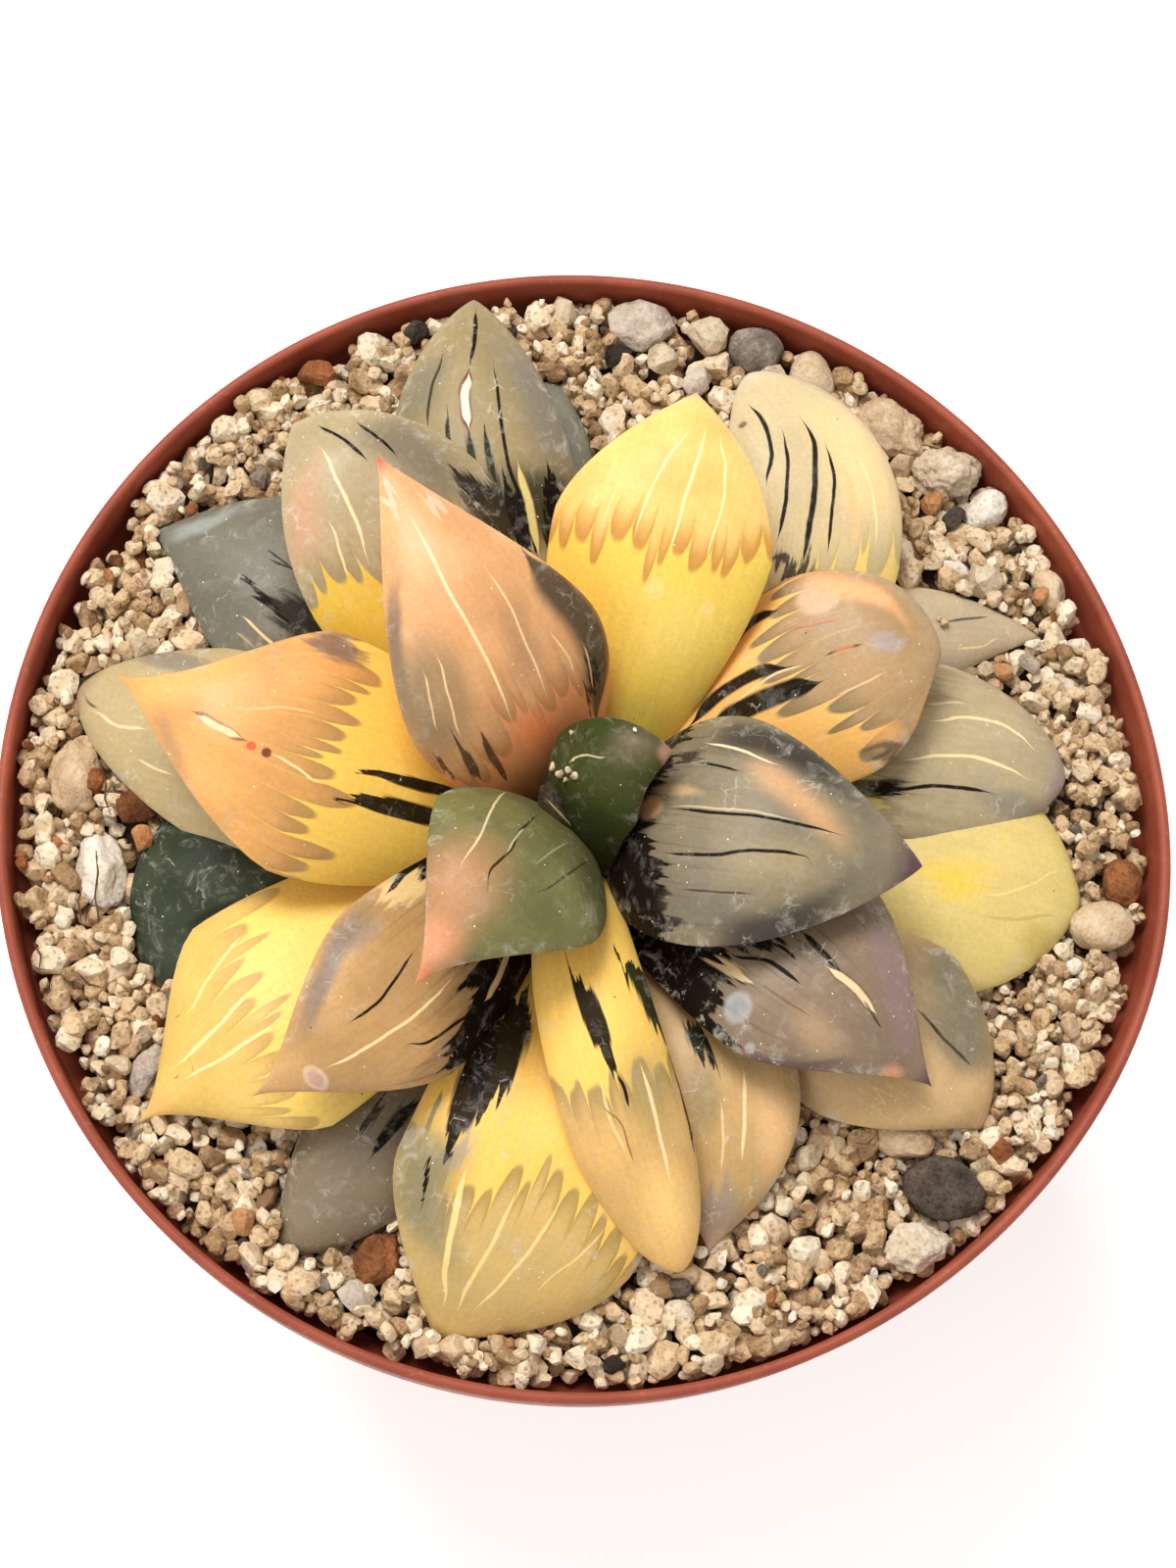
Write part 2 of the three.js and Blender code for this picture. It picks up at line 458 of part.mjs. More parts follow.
/** Bed of coarse grains, each sunk into the bed and its neighbours, cut clear of what stands in it. */
function gravelBed(obstacles) {
  const bottom = SOIL_TOP + GAP;
  const ring = [
    [CROWN_HOLE_RADIUS, bottom],
    [insideRadius(bottom) - GAP - 0.2, bottom],
    [insideRadius(bottom) - GAP - 0.2, GRAVEL_BED_TOP],
    [CROWN_HOLE_RADIUS, GRAVEL_BED_TOP],
    [CROWN_HOLE_RADIUS, bottom],
  ];
  const parts = [toSolid(reshaped(turned(ring), outOfRound))];
  const random = seededRandom(GRAVEL_SEED);
  const golden = rad(137.508);
  const count = Math.floor((GRAVEL_OUTER_RADIUS / GRAIN_SPACING) ** 2 * Math.PI);
  for (let i = 0; i < count; i += 1) {
    const reach = GRAVEL_OUTER_RADIUS * Math.sqrt((i + 0.5) / count)
      + GRAIN_STRAY * (random() - 0.5);
    const angle = i * golden + GRAIN_TURN_STRAY * (random() - 0.5);
    const size = GRAIN_RADIUS * (GRAIN_LEAST_SIZE + GRAIN_SIZE_RANGE * random());
    const squash = GRAIN_LEAST_SQUASH + (1 - GRAIN_LEAST_SQUASH) * random();
    const turn = new THREE.Euler(FULL_TURN * random(), FULL_TURN * random(), FULL_TURN * random());
    const height = GRAVEL_BED_TOP + GRAIN_RISE * size + GRAIN_STRAY * random();
    if (reach < GRAIN_INNER_REACH) continue;
    const out = Math.min(reach, GRAVEL_OUTER_RADIUS + GAP - size * 0.5);
    const grain = new THREE.OctahedronGeometry(size, 0)
      .scale(1, squash, GRAIN_DEPTH)
      .applyQuaternion(new THREE.Quaternion().setFromEuler(turn))
      .translate(out * Math.cos(angle), out * Math.sin(angle), height);
    const solid = toSolid(reshaped(grain, outOfRound));
    const covered = obstacles.some((other) => {
      if (!near(solid, other)) return false;
      return solid.intersect(other).volume() > GRAIN_COVERED * solid.volume();
    });
    if (!covered) parts.push(solid);
  }
  let bed = wasm.Manifold.union(parts);
  const reach = GRAVEL_OUTER_RADIUS + 0.9;
  const bore = new THREE.CylinderGeometry(reach, reach, 30, ROUND_SEGMENTS)
    .rotateX(Math.PI / 2).translate(0, 0, bottom + 15);
  bed = bed.intersect(toSolid(reshaped(bore, outOfRound)));
  for (const other of obstacles) {
    bed = cleared(bed, other);
  }
  return bed;
}

// ---------------------------------------------------------------- the object
const object = new THREE.Group();

/** Add one named piece with its own finish. */
function add(name, solid, colour, roughness) {
  const material = new THREE.MeshStandardMaterial({ color: colour, roughness, metalness: 0 });
  const mesh = new THREE.Mesh(toGeometry(solid), material);
  mesh.name = name;
  object.add(mesh);
}

const { leaves, taken } = rosette();

add('pot', pot(), 0xa5533c, 0.55);
add('substrate', substrate(), 0x4a3a2c, 0.95);
add('stem', stem(), 0x8a7b52, 0.8);

const stoneRooms = [];
Object.entries(STONES).forEach(([name, stone], i) => {
  let solid = stoneSolid(stone, i);
  for (const other of [...taken, ...stoneRooms]) {
    solid = cleared(solid, other);
  }
  stoneRooms.push(stoneSolid(stone, i, GAP));
  add(name, solid, stone.colour, 0.9);
});

add('gravel_bed', gravelBed([...taken, ...stoneRooms]), 0xcbb08c, 0.95);

for (const [tint, numbers] of Object.entries(LEAF_TINTS)) {
  for (const number of numbers) {
    const name = `leaf_${String(number).padStart(2, '0')}`;
    add(name, leaves[name], LEAF_COLOURS[tint], 0.45);
  }
}

// The out-of-round side widens the box by a little on +X only, so the origin moves to its middle.
const extent = new THREE.Box3().setFromObject(object);
object.position.x = -(extent.min.x + extent.max.x) / 2;

export default object;
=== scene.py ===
"""Potted haworthia: the looks of a window-leaved rosette in a nursery pot with a pumice top dressing.

Sizes are millimetres, measured from the pot's axis, until a mesh is written in metres. +Z is up. Places of
veins and spots are read in the photograph, in pixels of its 1200 by 1600 frame, and laid on the leaf that
carries them.
"""
import json
import logging
import math
import random
from dataclasses import dataclass
from enum import Enum

import bmesh
import bpy
from mathutils import Matrix, Quaternion, Vector, noise
from mathutils.bvhtree import BVHTree
from mathutils.geometry import barycentric_transform


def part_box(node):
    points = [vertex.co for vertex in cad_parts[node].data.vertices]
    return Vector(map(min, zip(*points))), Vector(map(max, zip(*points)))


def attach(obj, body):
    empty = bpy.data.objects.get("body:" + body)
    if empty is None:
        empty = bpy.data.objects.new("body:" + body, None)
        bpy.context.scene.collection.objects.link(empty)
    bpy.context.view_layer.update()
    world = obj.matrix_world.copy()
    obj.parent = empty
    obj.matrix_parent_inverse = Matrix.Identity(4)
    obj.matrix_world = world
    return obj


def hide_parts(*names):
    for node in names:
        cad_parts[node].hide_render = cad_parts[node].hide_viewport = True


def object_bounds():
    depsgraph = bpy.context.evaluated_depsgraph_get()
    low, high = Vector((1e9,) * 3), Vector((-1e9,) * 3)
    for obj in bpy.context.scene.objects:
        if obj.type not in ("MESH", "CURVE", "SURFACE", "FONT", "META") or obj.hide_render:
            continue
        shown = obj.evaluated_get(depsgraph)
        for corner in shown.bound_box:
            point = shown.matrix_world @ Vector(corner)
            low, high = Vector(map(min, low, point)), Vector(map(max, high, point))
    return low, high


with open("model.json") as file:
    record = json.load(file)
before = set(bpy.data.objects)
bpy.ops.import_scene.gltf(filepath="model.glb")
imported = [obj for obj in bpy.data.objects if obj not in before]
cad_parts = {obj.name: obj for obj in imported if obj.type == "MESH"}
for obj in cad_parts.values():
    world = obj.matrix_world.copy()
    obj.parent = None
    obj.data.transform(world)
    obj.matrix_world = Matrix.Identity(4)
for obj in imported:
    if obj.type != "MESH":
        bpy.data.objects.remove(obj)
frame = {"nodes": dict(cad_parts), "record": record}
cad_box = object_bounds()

MM = 0.001
STEM_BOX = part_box("stem")
AXIS_X = (STEM_BOX[0].x + STEM_BOX[1].x) / 2 / MM  # the pot's axis; the stem stands on it
TO_FRAME = Matrix.Scale(MM, 4) @ Matrix.Translation((AXIS_X, 0, 0))
GRAVEL_TOP = 64.0
GRAVEL_BED_TOP = 63.8
SLOTS = {part["node"]: part["material_slot"] for part in frame["record"]["subparts"]}

Pixel = tuple[int, int]
Pair = tuple[float, float]
Triple = tuple[float, float, float]
Socket = bpy.types.NodeSocket
log = logging.getLogger("potted_haworthia")


# ---------------- shared tools
def linear(colour: str) -> tuple[float, float, float, float]:
    """Turn an sRGB hex colour to linear light.

    Args:
        colour: six hex digits.

    Returns:
        Linear red, green, blue and an alpha of 1.
    """
    parts = [int(colour[i:i + 2], 16) / 255 for i in (0, 2, 4)]
    light = [c / 12.92 if c <= 0.04045 else ((c + 0.055) / 1.055) ** 2.4 for c in parts]
    return light[0], light[1], light[2], 1.0


def metres(point: Vector) -> Vector:
    """Turn a place in millimetres from the pot's axis into the frame's metres."""
    return Vector((point.x + AXIS_X, point.y, point.z)) * MM


def direction(draw: random.Random) -> Vector:
    """Draw a direction, all of them equally likely."""
    return Vector((draw.gauss(0, 1), draw.gauss(0, 1), draw.gauss(0, 1))).normalized()


def face_out(bm: bmesh.types.BMesh) -> None:
    """Turn all faces of a closed mesh outwards."""
    bm.normal_update()
    bmesh.ops.recalc_face_normals(bm, faces=bm.faces[:])


def to_object(name: str, bm: bmesh.types.BMesh) -> bpy.types.Object:
    """Write a bmesh in metres as an object of the scene, free it and return the object."""
    mesh = bpy.data.meshes.new(name)
    bm.to_mesh(mesh)
    bm.free()
    made = bpy.data.objects.new(name, mesh)
    bpy.context.scene.collection.objects.link(made)
    return made


def new_piece(name: str, bm: bmesh.types.BMesh, material: bpy.types.Material,
              nodes: tuple[str, ...] = (), smooth: bool = True) -> bpy.types.Object:
    """Write a bmesh in millimetres as a finished piece of the object.

    Args:
        name: the piece's name.
        bm: its mesh, in millimetres from the pot's axis; it is freed here.
        material: its finish.
        nodes: the nodes that it stands for.
        smooth: whether its faces are shaded smoothly.

    Returns:
        The new object.
    """
    bm.transform(TO_FRAME)
    for face in bm.faces:
        face.smooth = smooth
    piece = to_object(name, bm)
    piece.data.materials.append(material)
    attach(piece, "root")
    if nodes:
        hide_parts(*nodes)
    return piece


# ---------------- the photograph's camera
@dataclass(frozen=True)
class View:
    """The photograph's camera, worked out from both edges of the pot's lip."""

    distance: float = 250.0  # from the middle of the rim
    elevation: float = 75.2  # degrees above the horizon
    roll: float = -10.5  # degrees
    focal: float = 3305.0  # pixels of the photograph
    aim: Pair = (-0.7, 29.5)  # the rim's middle from the picture's middle, pixels
    size: tuple[int, int] = (1200, 1600)
    rim_height: float = 68.0
    sensor: float = 36.0

    def axes(self) -> tuple[Vector, Vector, Vector, Vector]:
        """Work out where the camera is and how it is turned.

        Returns:
            Its place, and its right, up and forward directions.
        """
        tilt = math.radians(self.elevation)
        out, rise = self.distance * math.cos(tilt), self.distance * math.sin(tilt)
        place = Vector((0, -out, self.rim_height + rise))
        forward = (Vector((0, 0, self.rim_height)) - place).normalized()
        right = Vector((1, 0, 0))
        up = right.cross(forward)
        pan = Quaternion(up, math.atan2(self.aim[0], self.focal))
        forward, right = pan @ forward, pan @ right
        pitch = Quaternion(right, math.atan2(self.aim[1], self.focal))
        forward, up = pitch @ forward, pitch @ up
        turn = Quaternion(forward, math.radians(self.roll))
        return place, turn @ right, turn @ up, forward

    def level(self, pixel: Pixel, height: float) -> Vector:
        """Return the point at a height that a pixel shows."""
        start, along = self.ray(pixel)
        return start + along * ((height - start.z) / along.z)

    def ray(self, pixel: Pixel) -> tuple[Vector, Vector]:
        """Return the line of sight through a pixel, as a start and a direction in millimetres."""
        place, right, up, forward = self.axes()
        across = (pixel[0] - self.size[0] / 2) / self.focal
        down = (pixel[1] - self.size[1] / 2) / self.focal
        return place, (forward + right * across - up * down).normalized()

    def pixel(self, point: Vector) -> Pair:
        """Return where a point in millimetres falls in the photograph."""
        place, right, up, forward = self.axes()
        away = point - place
        depth = away.dot(forward)
        return (self.size[0] / 2 + self.focal * away.dot(right) / depth,
                self.size[1] / 2 - self.focal * away.dot(up) / depth)

    def build(self) -> bpy.types.Object:
        """Make the camera and set it as the scene's own."""
        place, right, up, forward = self.axes()
        data = bpy.data.cameras.new("camera")
        data.sensor_width = self.sensor
        data.lens = self.focal * self.sensor / max(self.size)
        camera = bpy.data.objects.new("camera", data)
        turned = Matrix((right, up, -forward)).transposed().to_4x4()
        camera.matrix_world = Matrix.Translation(metres(place)) @ turned
        bpy.context.scene.collection.objects.link(camera)
        bpy.context.scene.camera = camera
        return camera


# ---------------- the plant's form
@dataclass(frozen=True)
class Leaf:
    """One fleshy leaf: it rises from the stem to its knee, where it is widest, and runs out to its tip.

    Heights are above the gravel, and headings are degrees from +X towards +Y.
    """

    number: int
    heading: float
    tip: Pair  # how far out it reaches, and its height
    knee: Triple  # how far out it is, how far to the left of the heading, and its height
    width: float
    swell: float  # powers of the outline beyond the knee: how late it narrows,
    point: float  # and how finely it is drawn out
    crown: float = 2.5  # thickness above the middle
    keel: float = 5.5  # and below it
    neck: float = 0.6  # share of the width at the root
    knee_at: float = 0.55  # share of the length at the knee
    roll: float = 0.0
    root: tuple[float, ...] = (4,)  # distance from the axis along the heading, or a place of its own
    root_height: float = -3.0

    @property
    def name(self) -> str:
        """The name of the node that the leaf stands for."""
        return f"leaf_{self.number:02d}"

    def line(self) -> tuple[Vector, Vector, Vector]:
        """Return the three control points of the curve along the leaf's middle."""
        out = Vector((math.cos(math.radians(self.heading)), math.sin(math.radians(self.heading)), 0))
        left = Vector((-out.y, out.x, 0))
        root = out * self.root[0] if len(self.root) == 1 else Vector((*self.root, 0))
        knee = out * self.knee[0] + left * self.knee[1]
        tip = out * self.tip[0]
        root.z = GRAVEL_TOP + self.root_height
        knee.z = GRAVEL_TOP + self.knee[2]
        tip.z = GRAVEL_TOP + self.tip[1]
        at = self.knee_at
        bend = (knee - root * (1 - at) ** 2 - tip * at ** 2) / (2 * at * (1 - at))
        return root, bend, tip

    def outline(self, along: float) -> float:
        """Return the share of the full width at a place along the leaf, 0 root to 1 tip."""
        if along < self.knee_at:
            return self.neck + (1 - self.neck) * math.sin(math.pi / 2 * along / self.knee_at)
        beyond = (along - self.knee_at) / (1 - self.knee_at)
        return max(0.0, 1 - beyond ** self.swell) ** self.point

    def length(self) -> float:
        """Return the leaf's length from root to tip, straight from one to the other by way of the knee."""
        root, bend, tip = self.line()
        middle = (root + 2 * bend + tip) / 4
        return (middle - root).length + (tip - middle).length


LEAVES = (
    Leaf(1, 243, (21, 19), (9.5, 0.5, 18), 15.5, swell=1.5, point=1.45, keel=6.5, neck=0.4, knee_at=0.4,
         roll=-7, root=(2.5,), root_height=5),
    Leaf(2, 17, (6, 19), (0.5, -0.5, 15), 9, swell=1.8, point=0.9, crown=1.8, keel=4.5, knee_at=0.5,
         roll=-6, root=(1.5, -4), root_height=7),
    Leaf(3, 135, (28, 20), (9.5, 1, 16), 17, swell=1.6, point=1.15, keel=6.5, neck=0.4, knee_at=0.4, roll=1,
         root=(3,), root_height=4),
    Leaf(4, 85, (31.5, 15), (20, -0.5, 14), 17, swell=1.4, point=1.1, keel=6.5, neck=0.4, knee_at=0.5,
         root=(3,), root_height=2),
    Leaf(5, 355, (25.5, 15), (10, -1.5, 15), 18, swell=1.9, point=0.9, keel=6.5, neck=0.4, knee_at=0.5,
         roll=1, root=(3,), root_height=3),
    Leaf(6, 177, (36.5, 12), (21, 2.5, 12), 19, swell=1.4, point=1.75, keel=6.5, neck=0.4, knee_at=0.45,
         roll=-5, root=(3,), root_height=1),
    Leaf(7, 234, (34, 11), (21, 2, 13), 14.5, swell=1.5, point=1.8, neck=0.5, knee_at=0.45, roll=-21,
         root=(3,), root_height=1),
    Leaf(8, 292, (36, 4), (23, -2.5, 11), 9, swell=2.5, point=0.6, crown=2.4, keel=5, neck=0.4, knee_at=0.7,
         roll=1, root=(3,), root_height=0),
    Leaf(9, 330, (34, 8), (21, 0, 11), 16.5, swell=1.5, point=1.35, neck=0.5, root=(3,), root_height=0),
    Leaf(10, 33, (29.5, 10), (21, 1.5, 10), 16.5, swell=1.5, point=0.8, neck=0.55, knee_at=0.5, roll=2,
         root=(3,), root_height=0),
    Leaf(11, 226, (41.5, 2), (29.5, 0, 6), 18.5, swell=1.5, point=2, neck=0.45, knee_at=0.6, roll=1,
         root=(3.5,), root_height=-2),
    Leaf(12, 265, (41.5, 1), (30.5, 3.5, 6), 20, swell=1.9, point=1, neck=0.45, knee_at=0.7, roll=-6,
         root=(3.5,), root_height=-2),
    Leaf(13, 138, (37, 10), (23, -1, 9), 18, swell=1.6, point=0.9, neck=0.55, knee_at=0.45, root=(3.5,),
         root_height=-1),
    Leaf(14, 112, (42.5, 6), (26, 2.5, 7), 14.5, swell=2.1, point=0.8, knee_at=0.6, root=(3.5,),
         root_height=-1),
    Leaf(15, 80, (38, 6), (25, -9.5, 6), 14.5, swell=2.6, point=0.6, roll=2, root=(3.5,), root_height=-2),
    Leaf(16, 156, (41, 2), (29, -2, 3), 16, swell=1.6, point=1.2, keel=4.5, knee_at=0.6),
    Leaf(17, 176, (40.5, 2), (21.5, 2, 4), 17.5, swell=1.9, point=0.6, keel=4.5, knee_at=0.6, roll=-1),
    Leaf(18, 213, (35, 1), (24, -5.5, 2), 16, swell=2.1, point=0.8, keel=4.5, root_height=-4),
    Leaf(19, 246, (40.5, 0.5), (28.5, 1.5, 2.5), 11.5, swell=1.4, point=0.8, keel=4.5, root_height=-4),
    Leaf(20, 1, (39.5, 1.5), (27, 0, 2.5), 19, swell=2, point=0.75, keel=4.5, roll=3),
    Leaf(21, 15, (38, 3), (24.5, 3.5, 4.5), 15, swell=2.4, point=0.6, knee_at=0.7, roll=-3),
    Leaf(22, 33, (40, 1), (27.5, 4, 2), 10, swell=1.4, point=1, crown=2, keel=3.5, knee_at=0.6,
         root_height=-4),
    Leaf(23, 332, (39, 0.5), (28, 1, 3.5), 16.5, swell=1.4, point=1.6, keel=4.5, neck=0.55, knee_at=0.45,
         roll=2),
    Leaf(24, 296, (35, 2.5), (22, 3.5, 5), 13.5, swell=2.5, point=1.3, root=(3.5,), root_height=-2),
    Leaf(25, 103, (36.5, 1.5), (26, 3, 2), 11, swell=2.2, point=0.8, crown=2, keel=3.5),
    Leaf(26, 195, (3.5, 12.5), (1.7, 1.8, 11.5), 5, swell=1.6, point=0.9, crown=1, keel=1.6, neck=0.7,
         knee_at=0.5, root=(1.5, -3.5), root_height=5),
    Leaf(27, 174, (3.2, 11), (0.7, 1.2, 9.5), 5.5, swell=1.8, point=0.9, crown=0.9, keel=1.6, neck=0.7,
         knee_at=0.5, root=(1.5, -2.5), root_height=5),
)


# ---------------- what the skins carry
@dataclass(frozen=True)
class Stroke:
    """A line or band of colour on the skin, read in the photograph from end to end; a few broad ones are
    painted highlight, sheen or shade.
    """

    colour: str
    width: float  # mm
    path: tuple[Pixel, ...]
    strength: float = 0.98
    soft: float = 0.5  # share of its half width that fades out
    ragged: bool = False


@dataclass(frozen=True)
class Frayed(Stroke):
    """A stroke with frayed ends."""

    ragged: bool = True


@dataclass(frozen=True)
class Patch:
    """A spot, scar or shaded area of the skin."""

    colour: str
    at: Pixel
    half: Pair  # half its size across and along the leaf, mm
    soft: float = 0.5  # share of it that fades out
    strength: float = 0.9
    turn: float = 0.0  # degrees
    ragged: bool = False


@dataclass(frozen=True)
class Skin:
    """One leaf's colours: an opaque base, and a clear window towards the tip."""

    number: int
    base: str
    window: tuple[str, str]  # two tints that cloud into each other
    back: str  # the keel's side
    deep: str = ""  # the window's tint in the lobes of its edge
    border: tuple[Pixel, ...] = ()  # the window's edge towards the root; without one it is everywhere
    fingers: float = 0.8  # mm, how far the base reaches into the window
    trace: float = 0.3  # how far a lobe's sides show beyond it, as faint lines
    torn: bool = False  # whether the window's edge is torn instead of lobed
    tip: str = ""  # without one the tip has the window's tint
    tip_length: float = 2.0  # mm
    margin: str = ""  # the thin line where crown and keel meet
    dust: float = 0.4  # how much of the dried mineral film lies on it


CREAM = "f6e3b4"
BLACK = "17120e"
BROWN = "3f2f22"

SKINS = (
    Skin(1, "6c7046", ("737748", "666a42"), "8a7c50", tip="ee8a5e", tip_length=2.4, margin="6a4a44",
         dust=0.7, trace=0.12),
    Skin(2, "343f1e", ("36421b", "414a24"), "434a2a", tip="8c6a58", tip_length=1.0, margin="74505a",
         dust=0.45, trace=0.1),
    Skin(3, "eaa46e", ("dcb07c", "d2a571"), "d9a35c", deep="c08f5e", fingers=1.0, tip="dd5a36",
         tip_length=1.8, dust=0.5, trace=0.16,
         border=((425, 790), (480, 798), (512, 762), (540, 735), (600, 705))),
    Skin(4, "f3dc66", ("f3d482", "ebc874"), "dcc04e", deep="cfa04c", fingers=1.0, tip="e8ac92",
         tip_length=2.2, dust=0.2, trace=0.45,
         border=((567, 540), (603, 557), (643, 567), (693, 580), (737, 587), (760, 580), (780, 563))),
    Skin(5, "1f1913", ("807d69", "898369"), "3d372c", deep="7c7862", fingers=0.9, torn=True, tip="5b4450",
         tip_length=2.4, margin="5b4a4e", dust=0.7,
         border=((672, 800), (664, 840), (668, 875), (678, 912), (690, 948))),
    Skin(6, "f7d968", ("dcac66", "d0a260"), "d9bd55", deep="b8955a", fingers=1.2, tip="f2ab6c",
         tip_length=1.4, margin="b98a68", dust=0.35, trace=0.35,
         border=((373, 667), (370, 690), (366, 730), (353, 757), (340, 790), (333, 827), (325, 860),
                 (313, 887))),
    Skin(7, BLACK, ("c4a26c", "b69762"), "6f6048", deep="9a8058", fingers=1.0, torn=True, tip="b07f6c",
         tip_length=2.2, margin="8a6a60", dust=0.6,
         border=((436, 900), (470, 945), (486, 985), (476, 1025), (455, 1068))),
    Skin(8, "f4d36c", ("d3b473", "dbbb75"), "d2b04c", deep="ac9760", fingers=1.0, tip="f6d48a",
         tip_length=4.0, dust=0.5, trace=0.35,
         border=((590, 1110), (610, 1102), (630, 1092), (650, 1080), (680, 1070))),
    Skin(9, "1c1611", ("8d7f6a", "857764"), "3f382f", deep="82765f", fingers=1.1, torn=True, tip="5a4650",
         tip_length=2.4, margin="5d4c56", dust=1.0,
         border=((815, 935), (775, 965), (750, 985), (735, 1010), (728, 1040), (735, 1065))),
    Skin(10, "f5c873", ("a9926a", "b39a70"), "b89a50", deep="8f8058", fingers=1.5, tip="e6ac86",
         tip_length=1.5, dust=0.8,
         border=((790, 612), (768, 640), (772, 680), (800, 705), (825, 720), (850, 745), (885, 770))),
    Skin(11, "f7dd76", ("e2c872", "dabd66"), "d6b850", deep="c9ad62", fingers=1.5, trace=0.5, tip="b8804e",
         tip_length=1.0, margin="f0dc9a", dust=0.25,
         border=((245, 905), (260, 927), (266, 960), (262, 993), (273, 1023), (285, 1060), (300, 1110))),
    Skin(12, "f3cf68", ("d2ba74", "c8b474"), "c8aa4c", deep="ad9858", fingers=1.3, trace=0.2, tip="c9a070",
         tip_length=0.8, margin="c8b890", dust=0.8,
         border=((425, 1170), (468, 1215), (507, 1197), (530, 1194), (563, 1202), (597, 1211), (625, 1245),
                 (653, 1268))),
    Skin(13, "dcc24c", ("aea480", "a59c78"), "a89c60", deep="99906a", fingers=1.3, trace=0.2, tip="b89a80",
         tip_length=1.0, margin="c9a488", dust=0.9,
         border=((330, 615), (337, 600), (350, 590), (370, 600), (383, 590), (400, 593))),
    Skin(14, "a8a068", ("958a62", "9d926a"), "8a845c", deep="8f8a60", fingers=1.0, tip="8a7c6a",
         tip_length=1.0, margin="b9b4a4", dust=1.0),
    Skin(15, "f0dc80", ("c9c198", "cfc79c"), "bdb070", deep="c2b988", trace=0.15, fingers=1.2, tip="cfcab0",
         tip_length=1.8, margin="e9dcae",
         border=((770, 600), (800, 600), (850, 590), (880, 575), (910, 560))),
    Skin(16, "4a4638", ("6c6f61", "737668"), "6f6c58", tip="5f6a6c", tip_length=1.6, trace=0.08,
         margin="8f978f", dust=0.9),
    Skin(17, "b0a468", ("b3aa80", "b9ae82"), "9a9260", tip="a08c70", tip_length=1.2, trace=0.15,
         margin="d0c6a4", dust=0.8),
    Skin(18, "232b1f", ("323c2e", "3f493b"), "3f452f", tip="5a5242", tip_length=1.2, trace=0.1,
         margin="5a6450", dust=1.0),
    Skin(19, "3c372c", ("7d7560", "857c66"), "6a6448", tip="8a7a6a", tip_length=1.0, trace=0.1,
         margin="a39a84", dust=1.0),
    Skin(20, "dfcb5c", ("dacf84", "d6c980"), "c4b04c", tip="c9bc84", tip_length=0.8, margin="e6dca0",
         dust=0.5),
    Skin(21, "b8ad62", ("b6ae8c", "aaa384"), "6f6a4e", deep="938c6c", fingers=1.2, torn=True, tip="9a8f92",
         tip_length=1.6, margin="b0a8a0", dust=1.0,
         border=((935, 690), (900, 725), (890, 780), (905, 830))),
    Skin(22, "6a6448", ("b4ab92", "bcb294"), "7d7858", tip="8d8272", tip_length=1.0, trace=0.15,
         margin="c0b496", dust=1.0),
    Skin(23, "8f8048", ("ceb684", "c7af7e"), "a8954e", tip="b09070", tip_length=1.2, trace=0.15,
         margin="cbb894", dust=1.0),
    Skin(24, "b89c56", ("cbb078", "c0a870"), "a0894a", tip="b8a090", tip_length=2.4, trace=0.2,
         margin="dcc8a4", dust=1.0),
    Skin(25, "6d7468", ("7f8478", "757a6e"), "7c8272", tip="8a8a80", tip_length=0.8, dust=0.9, trace=0.1),
    Skin(26, "211f12", ("3a321e", "2e2b18"), "33351f", tip="a07c58", tip_length=0.5, trace=0.1),
    Skin(27, "1a2012", ("22291a", "2a311e"), "1e2416", trace=0.1),
)

